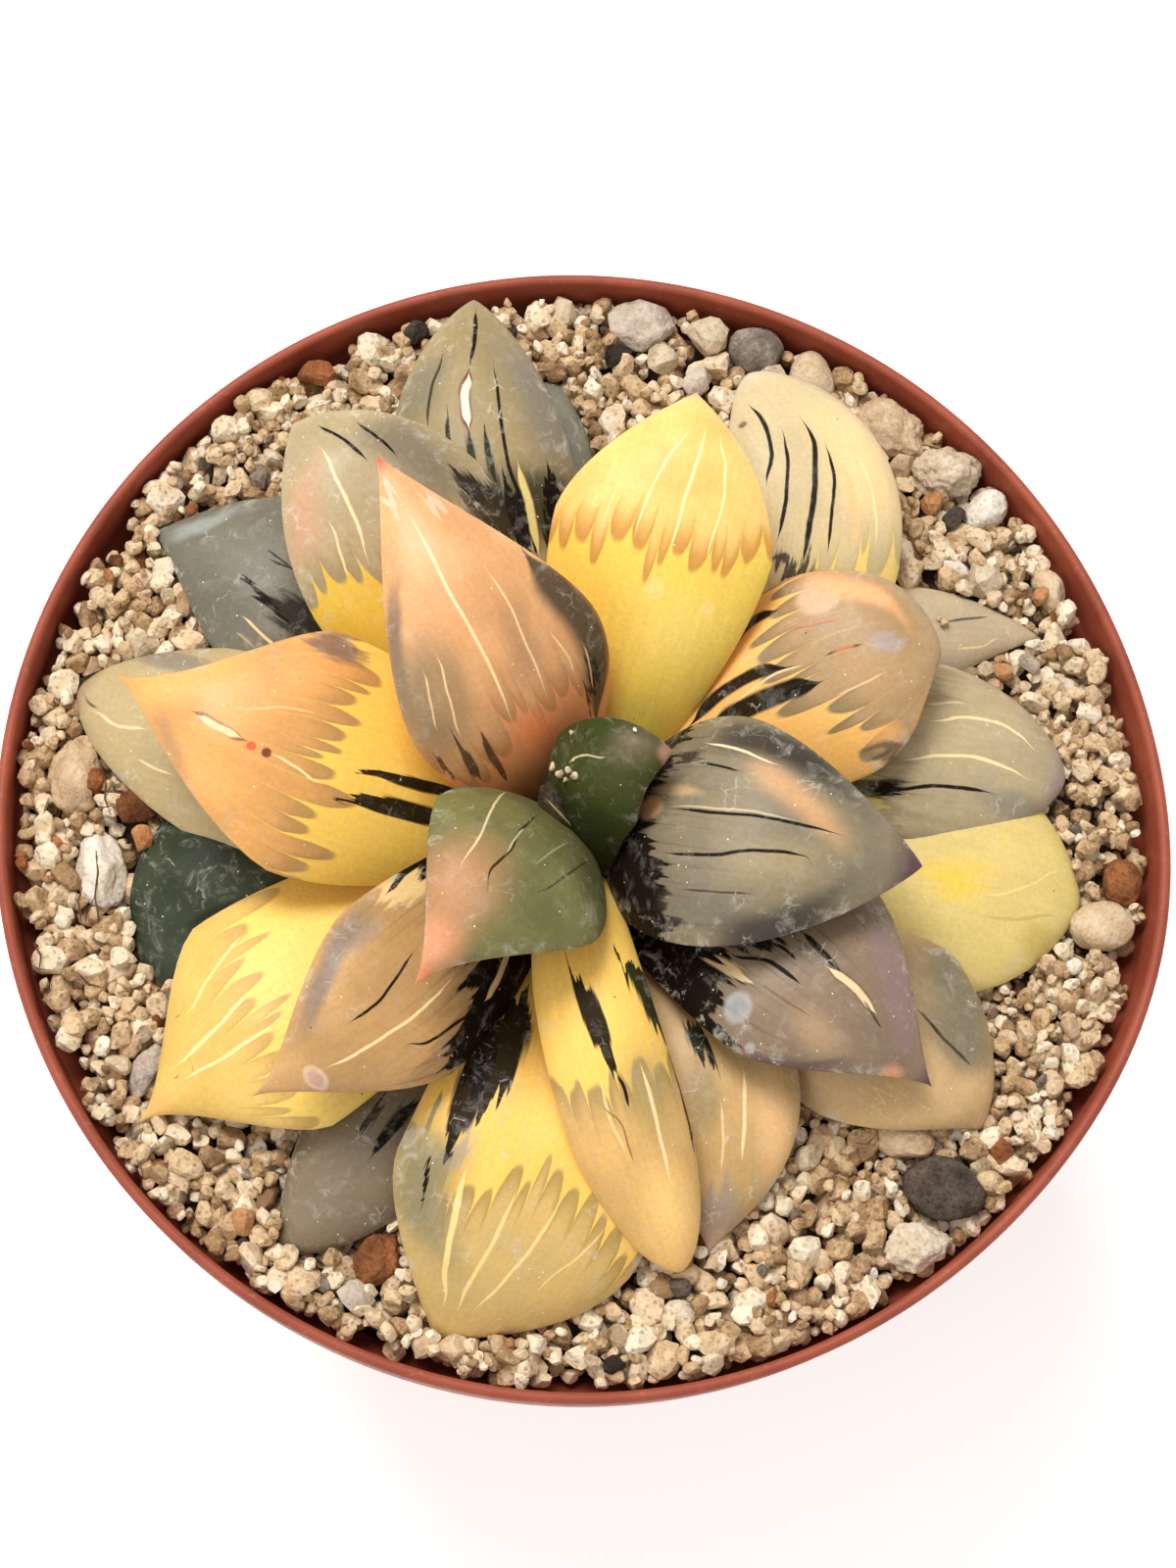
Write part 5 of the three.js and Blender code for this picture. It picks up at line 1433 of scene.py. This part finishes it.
class Mineral(Enum):
    """What the stones and grains are made of: its material slot, its tints and how much painted shade
    darkens its pores.
    """

    GREY = ("stone_grey", ("5e5346", "84786a", "b9a794", "d6c4b0"), 0.12)
    TAN = ("stone_tan", ("886749", "b59370", "cfb08b", "e0c9a8"), 0.15)
    PALE = ("stone_pale", ("a98f70", "cfb897", "dfceb4", "ece2d3"), 0.25)
    DARK = ("stone_dark", ("332a24", "52463c", "6a5c50", "8e7d6c"), 0.35)
    RED = ("stone_red", ("5a3420", "82502e", "a8693f", "c48e5e"), 0.3)
    PUMICE = ("pumice", ("a17e58", "d2b086", "e7cca6", "f4e4c8"), 0.45)

    def finish(self) -> MineralFinish:
        """Return this mineral's finish."""
        return MineralFinish(f"{self.name.lower()}_rock", self.value[1], self.value[2])


@dataclass
class LooseStones:
    """The larger stones that lie in the gravel."""

    fullness: float = 1.04  # its size before it is broken
    lumps: float = 0.1  # how far its broad lumps rise, as a share of its size
    sink: float = 0.25  # how far its middle lies over the solid's gravel, in half heights,
    lift: float = 1.6  # and in mm on top of that
    breaks: int = 16  # flat breaks on a stone
    depths: Pair = (0.72, 0.97)  # how far out they lie, as a share of its half size
    seed: int = 5

    def form(self, stone: Stone) -> bmesh.types.BMesh:
        """Model one stone in millimetres, with the broad lumps of the solid's stone and finer breaks."""
        bm = bmesh.new()
        tone = bm.verts.layers.float.new("tone")
        bmesh.ops.create_icosphere(bm, subdivisions=5, radius=1)
        phase = stone.number - 1
        draw = random.Random(self.seed * stone.number)
        planes = [(direction(draw), draw.uniform(*self.depths)) for _ in range(self.breaks)]
        for vert in bm.verts:
            p = vert.co.copy()
            cut = min([1.0] + [depth / max(p.dot(out), 1e-3) for out, depth in planes if p.dot(out) > depth])
            cut = 1 - stone.broken * (1 - cut)
            lump = math.sin(3.1 * p.x + phase) + math.sin(2.7 * p.y - 1.3 * phase)
            lump += math.sin(3.7 * p.z + 0.7 * phase)
            rough = noise.fractal(p * 2.6 + Vector((phase, 0, 0)), 0.8, 2.2, 5)
            size = self.fullness * cut + self.lumps / 2 * lump + stone.pitted * (rough - 0.35)
            vert.co = Vector((p.x * stone.half[0], p.y * stone.half[1], p.z * stone.half[2])) * size
            vert[tone] = stone.tone
        bm.transform(Matrix.Rotation(math.radians(stone.turn), 4, "Z"))
        height = GRAVEL_BED_TOP + stone.half[2] * self.sink + self.lift
        bm.transform(Matrix.Translation((*stone.at, height)))
        return bm

    def build(self) -> list[bpy.types.Object]:
        """Model and dress the stones."""
        finishes = {mineral.value[0]: mineral.finish().build() for mineral in Mineral}
        pieces = []
        for stone in STONES:
            node = f"stone_{stone.number:02d}"
            slot = SLOTS[node]
            pieces.append(new_piece(f"loose_{node}", self.form(stone), finishes[slot], (node,)))
        return pieces


class Heap:
    """Gathers the grains of one kind, each a copy of one of a few broken chips."""

    chips: int = 24
    breaks: int = 9  # flat breaks on a chip
    depths: Pair = (0.5, 0.9)  # how far out they lie, as a share of its half size

    def __init__(self, draw: random.Random) -> None:
        """Break the chips from a ball of 80 faces."""
        ball = bmesh.new()
        bmesh.ops.create_icosphere(ball, subdivisions=2, radius=1)
        chips = [self.cuts(draw) for _ in range(self.chips)]
        self.shapes = [[self.broken(vert.co, cuts) for vert in ball.verts] for cuts in chips]
        self.ball_faces = [[vert.index for vert in face.verts] for face in ball.faces]
        ball.free()
        self.verts: list[Vector] = []
        self.faces: list[list[int]] = []
        self.tones: list[float] = []

    def cuts(self, draw: random.Random) -> list[tuple[Vector, float]]:
        """Draw the planes that break one chip, each a direction and how far out it lies."""
        return [(direction(draw), draw.uniform(*self.depths)) for _ in range(self.breaks)]

    def broken(self, point: Vector, cuts: list[tuple[Vector, float]]) -> Vector:
        """Return where a point of the ball lies once the planes have cut it."""
        place = point.copy()
        for out, depth in cuts:
            beyond = place.dot(out) - depth
            if beyond > 0:
                place -= out * beyond
        return place * (1.1 + 0.16 * noise.noise(point * 2.3 + cuts[0][0] * 9))

    def add(self, which: int, centre: Vector, radius: float, squash: Triple, spin: Quaternion,
            tone: float) -> None:
        """Add one grain.

        Args:
            which: the number of its chip.
            centre: its middle, mm.
            radius: its half size, mm.
            squash: its stretch along its own three directions.
            spin: how it is turned.
            tone: which of the kind's tints it has, 0 to 1.
        """
        start = len(self.verts)
        turned = Matrix.Translation(centre) @ spin.to_matrix().to_4x4() @ Matrix.Diagonal(
            (radius * squash[0], radius * squash[1], radius * squash[2], 1))
        self.verts.extend(turned @ point for point in self.shapes[which % self.chips])
        self.tones.extend([tone] * len(self.shapes[0]))
        self.faces.extend([start + i for i in face] for face in self.ball_faces)

    def meshes(self, most: int = 2000) -> list[bmesh.types.BMesh]:
        """Return the grains as bmeshes of so many grains at most, with the layer "tone"."""
        points, faces = len(self.shapes[0]), len(self.ball_faces)
        made = []
        for start in range(0, len(self.tones) // points, most):
            verts = slice(start * points, (start + most) * points)
            rows = self.faces[start * faces:(start + most) * faces]
            mesh = bpy.data.meshes.new("grains")
            mesh.from_pydata(self.verts[verts], [], [[i - start * points for i in row] for row in rows])
            mesh.attributes.new("tone", "FLOAT", "POINT").data.foreach_set("value", self.tones[verts])
            bm = bmesh.new()
            bm.from_mesh(mesh)
            bpy.data.meshes.remove(mesh)
            made.append(bm)
        return made


PICKED = (  # grains that stand out: kind, place in the photo, half size and tone
    (Mineral.DARK, (630, 362), 1.15, 0.0),
    (Mineral.PALE, (720, 342), 1.75, 0.35),
    (Mineral.PALE, (676, 370), 1.3, 0.3),
    (Mineral.GREY, (712, 390), 1.2, 0.9),
    (Mineral.PALE, (790, 386), 1.3, 0.4),
    (Mineral.RED, (952, 512), 0.95, 0.95),
    (Mineral.DARK, (974, 527), 0.95, 0.3),
    (Mineral.RED, (1062, 609), 0.8, 0.95),
    (Mineral.RED, (1023, 686), 0.8, 0.95),
    (Mineral.GREY, (1051, 675), 0.85, 0.6),
    (Mineral.PALE, (1003, 590), 1.6, 0.5),
    (Mineral.TAN, (918, 480), 1.5, 0.6),
    (Mineral.RED, (137, 826), 1.5, 0.2),
    (Mineral.RED, (144, 854), 1.05, 0.9),
    (Mineral.RED, (92, 800), 1.1, 0.3),
    (Mineral.RED, (250, 1246), 1.0, 0.95),
    (Mineral.DARK, (425, 340), 1.1, 0.2),
    (Mineral.GREY, (362, 1322), 1.3, 0.8),
)


@dataclass
class TopDressing:
    """The bed of small grains, dropped one by one so that each rests on those below it."""

    view: View
    pot: NurseryPot
    obstacles: BVHTree
    seed: int = 11
    tries: int = 20000
    cell: float = 0.35  # mm, the height map's step
    inner: float = 12.0  # no grain is nearer the stem than this
    fill: float = 67.0  # the bed's mean height
    swell: float = 0.4  # how far that height rises and falls
    smallest: float = 0.45
    largest: float = 1.5
    common: float = 2.2  # how far the small grains outnumber the large ones
    fine_from: float = 28.0  # beyond this on the right, and behind the next, the grains are finer
    fine_behind: float = -20.0
    fine_share: float = 0.78
    core: Pair = (60.2, 64.0)  # from and to which height the bed is one crumbly mass

    def kinds(self) -> tuple[tuple[Mineral, float], ...]:
        """Return the kinds of grain with their shares."""
        return ((Mineral.PUMICE, 0.87), (Mineral.TAN, 0.08), (Mineral.RED, 0.014), (Mineral.DARK, 0.008),
                (Mineral.PALE, 0.028))

    def blocked(self, centre: Vector, radius: float) -> bool:
        """Tell whether a grain would stand in a leaf or a stone."""
        near, _, _, away = self.obstacles.find_nearest(centre, 12.0)
        if near is not None and away < 0.6 * radius:
            return True
        over, normal, _, _ = self.obstacles.ray_cast(centre, Vector((0, 0, 1)))
        return over is not None and normal.z > 0

    def room(self, centre: Vector) -> float:
        """Return the distance from the axis to the pot's inner wall at a grain's height and heading."""
        collar = self.pot.height - self.pot.collar_height
        within = self.pot.rim_radius - 0.2 if centre.z > collar + 1 else self.pot.wall_radius(centre.z)
        return within - self.pot.wall + self.pot.push(centre.x, centre.y, centre.z)

    def mass(self) -> bpy.types.Object:
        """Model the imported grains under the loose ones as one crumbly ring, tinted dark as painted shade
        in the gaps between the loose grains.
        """
        low, high = self.core
        bm = bmesh.new()
        wall = self.pot.wall_radius(low) - self.pot.wall - 0.2
        outline = [(self.inner, low), (self.inner, high), (wall, high), (wall, low)]
        points = [bm.verts.new((radius, 0, height)) for radius, height in outline]
        edges = [bm.edges.new(pair) for pair in zip(points, points[1:] + points[:1])]
        bmesh.ops.subdivide_edges(bm, edges=edges[1:2], cuts=40)
        bmesh.ops.spin(bm, geom=bm.verts[:] + bm.edges[:], cent=(0, 0, 0), axis=(0, 0, 1), angle=2 * math.pi,
                       steps=240, use_merge=True)
        bmesh.ops.remove_doubles(bm, verts=bm.verts[:], dist=1e-4)
        for vert in bm.verts:
            if vert.co.z > high - 0.1:
                vert.co.z += 0.5 * noise.noise(vert.co * 0.9) - 0.3
        face_out(bm)
        # dark tints: painted shade that shows in the gaps between the loose grains
        finish = EarthFinish("packed_pumice_in_painted_shade", "2b2016", "755c42", 0.9).build()
        return new_piece("gravel_packed", bm, finish, ("gravel_bed",))

    def build(self) -> list[bpy.types.Object]:
        """Drop, model and dress the grains."""
        draw = random.Random(self.seed)
        outer = self.pot.rim_radius
        reach = int(2 * outer / self.cell) + 12
        middle = reach // 2
        heights = [[self.core[1] - 0.3] * reach for _ in range(reach)]
        heaps = {mineral: Heap(draw) for mineral in Mineral}
        names, shares = zip(*self.kinds())
        count = 0
        for mineral, pixel, radius, tone in PICKED:
            centre = self.view.level(pixel, self.fill - 0.4 * radius)
            self.raise_ground(heights, centre, radius, middle)
            spin = Quaternion((1, draw.gauss(0, 0.3), draw.gauss(0, 0.3), draw.gauss(0, 1))).normalized()
            heaps[mineral].add(draw.randrange(Heap.chips), centre, radius, (1.15, 0.95, 0.85), spin, tone)
        for _ in range(self.tries):
            radius = self.smallest + (self.largest - self.smallest) * draw.random() ** self.common
            away = math.sqrt(draw.uniform(self.inner ** 2, outer ** 2))
            turn = draw.uniform(0, 2 * math.pi)
            x, y = away * math.cos(turn), away * math.sin(turn)
            radius *= self.fine_share if x > self.fine_from and y > self.fine_behind else 1.0
            mineral = draw.choices(names, shares)[0]
            tone = draw.random()
            which = draw.randrange(Heap.chips)
            squash = (draw.uniform(0.9, 1.3), draw.uniform(0.8, 1.05), draw.uniform(0.65, 0.9))
            spin = Quaternion((draw.gauss(0, 1), draw.gauss(0, 1), draw.gauss(0, 1), draw.gauss(0, 1)))
            cells = self.under(x, y, 0.6 * radius, middle)
            ground = sum(heights[i][j] for i, j, _ in cells) / len(cells)
            centre = Vector((x, y, ground + 0.45 * radius))
            level = self.fill + self.swell * noise.noise(Vector((x, y, 0)) / 9)
            if centre.z + 0.5 * radius > level or self.blocked(centre, radius):
                continue
            if away + 0.85 * radius > self.room(centre):
                continue
            self.raise_ground(heights, centre, radius, middle)
            heaps[mineral].add(which, centre, radius, squash, spin.normalized(), tone)
            count += 1
        log.info("gravel: %d grains", count)
        pieces = [self.mass()]
        for mineral, heap in heaps.items():
            if not heap.tones:
                continue
            name = f"gravel_{mineral.name.lower()}"
            for part, bm in enumerate(heap.meshes(), 1):
                pieces.append(new_piece(f"{name}_{part}", bm, mineral.finish().build(),
                                        ("gravel_bed",), smooth=False))
        return pieces

    def raise_ground(self, heights: list[list[float]], centre: Vector, radius: float, middle: int) -> None:
        """Raise the height map to a new grain's crest."""
        for i, j, gap in self.under(centre.x, centre.y, radius, middle):
            crest = centre.z + 0.85 * radius * math.sqrt(max(0.0, 1 - (gap / radius) ** 2))
            heights[i][j] = max(heights[i][j], crest)

    def under(self, x: float, y: float, radius: float, middle: int) -> list[tuple[int, int, float]]:
        """Return the height map's cells within a radius, each with its distance."""
        span = int(radius / self.cell) + 1
        ci, cj = round(x / self.cell) + middle, round(y / self.cell) + middle
        found = []
        for i in range(ci - span, ci + span + 1):
            for j in range(cj - span, cj + span + 1):
                gap = math.hypot((i - middle) * self.cell - x, (j - middle) * self.cell - y)
                if gap <= radius or (i, j) == (ci, cj):
                    found.append((i, j, gap))
        return found


@dataclass(frozen=True)
class Fibre:
    """A dry root fibre or hair, read in the photograph from end to end."""

    path: tuple[Pixel, ...]
    width: float = 0.14


FIBRES = (
    Fibre(((597, 733), (594, 742), (597, 750), (594, 758)), 0.1),
    Fibre(((146, 1150), (141, 1175), (146, 1200), (142, 1226)), 0.07),
    Fibre(((104, 783), (108, 800), (107, 815), (113, 832))),
    Fibre(((98, 868), (100, 890), (97, 915), (101, 940))),
    Fibre(((84, 905), (80, 920), (83, 940))),
    Fibre(((97, 915), (90, 928), (86, 946)), 0.1),
    Fibre(((34, 962), (42, 975), (40, 990))),
    Fibre(((78, 992), (90, 1004), (104, 1008))),
    Fibre(((893, 1160), (884, 1168), (872, 1166)), 0.1),
)

CRUMBS = (  # place in the photograph and half size of a grain that lies on a leaf
    ((564, 783), 0.32), ((571, 790), 0.4), ((580, 786), 0.28), ((586, 793), 0.36), ((583, 748), 0.22),
    ((648, 745), 0.2), ((585, 776), 0.2), ((963, 637), 0.42), ((958, 632), 0.22), ((577, 796), 0.25),
)


@dataclass
class Litter:
    """Crumbs and dry fibres that have fallen on the leaves and between the grains."""

    view: View
    growth: BVHTree
    level: float = 66.9  # where something lies that is on the gravel
    sides: int = 6
    fine: int = 5  # steps of a fibre between two of its read points
    seed: int = 3

    def spot(self, pixel: Pixel) -> Vector:
        """Return where something at a pixel lies."""
        hit, _, _, _ = self.growth.ray_cast(*self.view.ray(pixel))
        ground = self.view.level(pixel, self.level)
        return ground if hit is None or hit.z < ground.z else hit

    def thread(self, bm: bmesh.types.BMesh, fibre: Fibre) -> None:
        """Add one fibre as a thin tube with pointed ends."""
        marks = [self.spot(pixel) for pixel in fibre.path]
        middles = []
        for i in range((len(marks) - 1) * self.fine + 1):
            part = min(i // self.fine, len(marks) - 2)
            middles.append(marks[part].lerp(marks[part + 1], (i - part * self.fine) / self.fine))
        rings = []
        for i, middle in enumerate(middles):
            ahead = (middles[min(i + 1, len(middles) - 1)] - middles[max(i - 1, 0)]).normalized()
            side = ahead.cross(Vector((0, 0, 1))).normalized()
            top = side.cross(ahead)
            share = math.sin(math.pi * (i + 0.5) / len(middles)) ** 0.4
            lift = Vector((0, 0, fibre.width * (0.4 + 0.6 * abs(math.sin(i)))))
            turn = [2 * math.pi * k / self.sides for k in range(self.sides)]
            rings.append([bm.verts.new(middle + lift + (side * math.cos(a) + top * math.sin(a))
                                       * (fibre.width / 2 * share)) for a in turn])
        for low, high in zip(rings, rings[1:]):
            for k in range(self.sides):
                after = (k + 1) % self.sides
                bm.faces.new((low[k], low[after], high[after], high[k]))
        bm.faces.new(rings[0][::-1])
        bm.faces.new(rings[-1])

    def build(self) -> list[bpy.types.Object]:
        """Model and dress the fibres and the crumbs."""
        draw = random.Random(self.seed)
        threads = bmesh.new()
        for fibre in FIBRES:
            self.thread(threads, fibre)
        face_out(threads)
        root = EarthFinish("dry_root_fibre", "3a2416", "7a5436", 0.8).build()
        pieces = [new_piece("dry_fibres", threads, root, ("gravel_bed",))]
        heap = Heap(draw)
        for pixel, radius in CRUMBS:
            spin = Quaternion((1, draw.gauss(0, 1), draw.gauss(0, 1), draw.gauss(0, 1))).normalized()
            centre = self.spot(pixel) + Vector((0, 0, 0.7 * radius))
            which, tone = draw.randrange(Heap.chips), draw.uniform(0.3, 0.9)
            heap.add(which, centre, radius, (1.1, 0.9, 0.8), spin, tone)
        for bm in heap.meshes():
            pieces.append(new_piece("fallen_crumbs", bm, Mineral.PUMICE.finish().build(),
                                    ("gravel_bed",), smooth=False))
        return pieces


# ---------------- studio
@dataclass
class Studio:
    """Pale floor and soft light."""

    view: View
    floor: float = 3.0  # metres, half its width
    sky: float = 0.65  # strength of the light from all round
    aim: Triple = (0, 0, 0.06)  # metres, what the lamps face

    def build(self) -> None:
        """Make the floor, the lights and the camera."""
        self.view.build()
        scene = bpy.context.scene
        scene.view_settings.view_transform = "Standard"
        bm = bmesh.new()
        bmesh.ops.create_grid(bm, x_segments=1, y_segments=1, size=self.floor)
        floor = to_object("floor", bm)
        floor.data.materials.append(Paint("pale_studio_floor").done({
            "Base Color": "fbfaf8",
            "Roughness": 0.9,
            "Emission Color": "fffdfa",
            "Emission Strength": 0.35,
        }))

        world = bpy.data.worlds.new("soft_light")
        world.use_nodes = True
        light = world.node_tree.nodes["Background"]
        light.inputs["Color"].default_value = (1, 1, 1, 1)
        light.inputs["Strength"].default_value = self.sky
        scene.world = world
        self.lamp("key", (-0.25, 0.3, 0.8), 0.35, 6.5)
        self.lamp("fill", (-0.5, -0.4, 0.6), 0.6, 1.6)

    def lamp(self, name: str, place: Triple, size: float, power: float) -> None:
        """Add one soft box that faces the plant: its place and size in metres and its power in watts."""
        data = bpy.data.lights.new(name, "AREA")
        data.size = size
        data.energy = power
        lamp = bpy.data.objects.new(name, data)
        lamp.location = place
        lamp.rotation_euler = (Vector(self.aim) - Vector(place)).to_track_quat("-Z", "Y").to_euler()
        bpy.context.scene.collection.objects.link(lamp)


def joined(pieces: list[bpy.types.Object]) -> BVHTree:
    """Return one search tree of several pieces, in millimetres from the pot's axis."""
    bm = bmesh.new()
    for piece in pieces:
        bm.from_mesh(piece.data)
    bm.transform(Matrix.Translation((-AXIS_X, 0, 0)) @ Matrix.Scale(1 / MM, 4))
    tree = BVHTree.FromBMesh(bm)
    bm.free()
    return tree


def main() -> None:
    """Build the pieces in order and report each one."""
    logging.basicConfig(level=logging.INFO, format="%(message)s")
    view = View()
    Studio(view).build()
    pot = NurseryPot()
    pieces = [pot.build()]
    pieces += Rosette(view).build()
    pieces += LooseStones().build()
    growth = joined(pieces[1:])
    pieces += TopDressing(view, pot, growth).build()
    pieces += Litter(view, growth).build()
    for node, finish in (("substrate", EarthFinish("peat_and_grit", "2a1f16", "6b5138", 1.2)),
                         ("stem", EarthFinish("corky_stem", "4a3d26", "8f7f55", 0.8))):
        frame["nodes"][node].data.materials.clear()
        frame["nodes"][node].data.materials.append(finish.build())
    for piece in pieces:
        log.info("%s: %d faces", piece.name, len(piece.data.polygons))


if __name__ == "__main__":
    main()
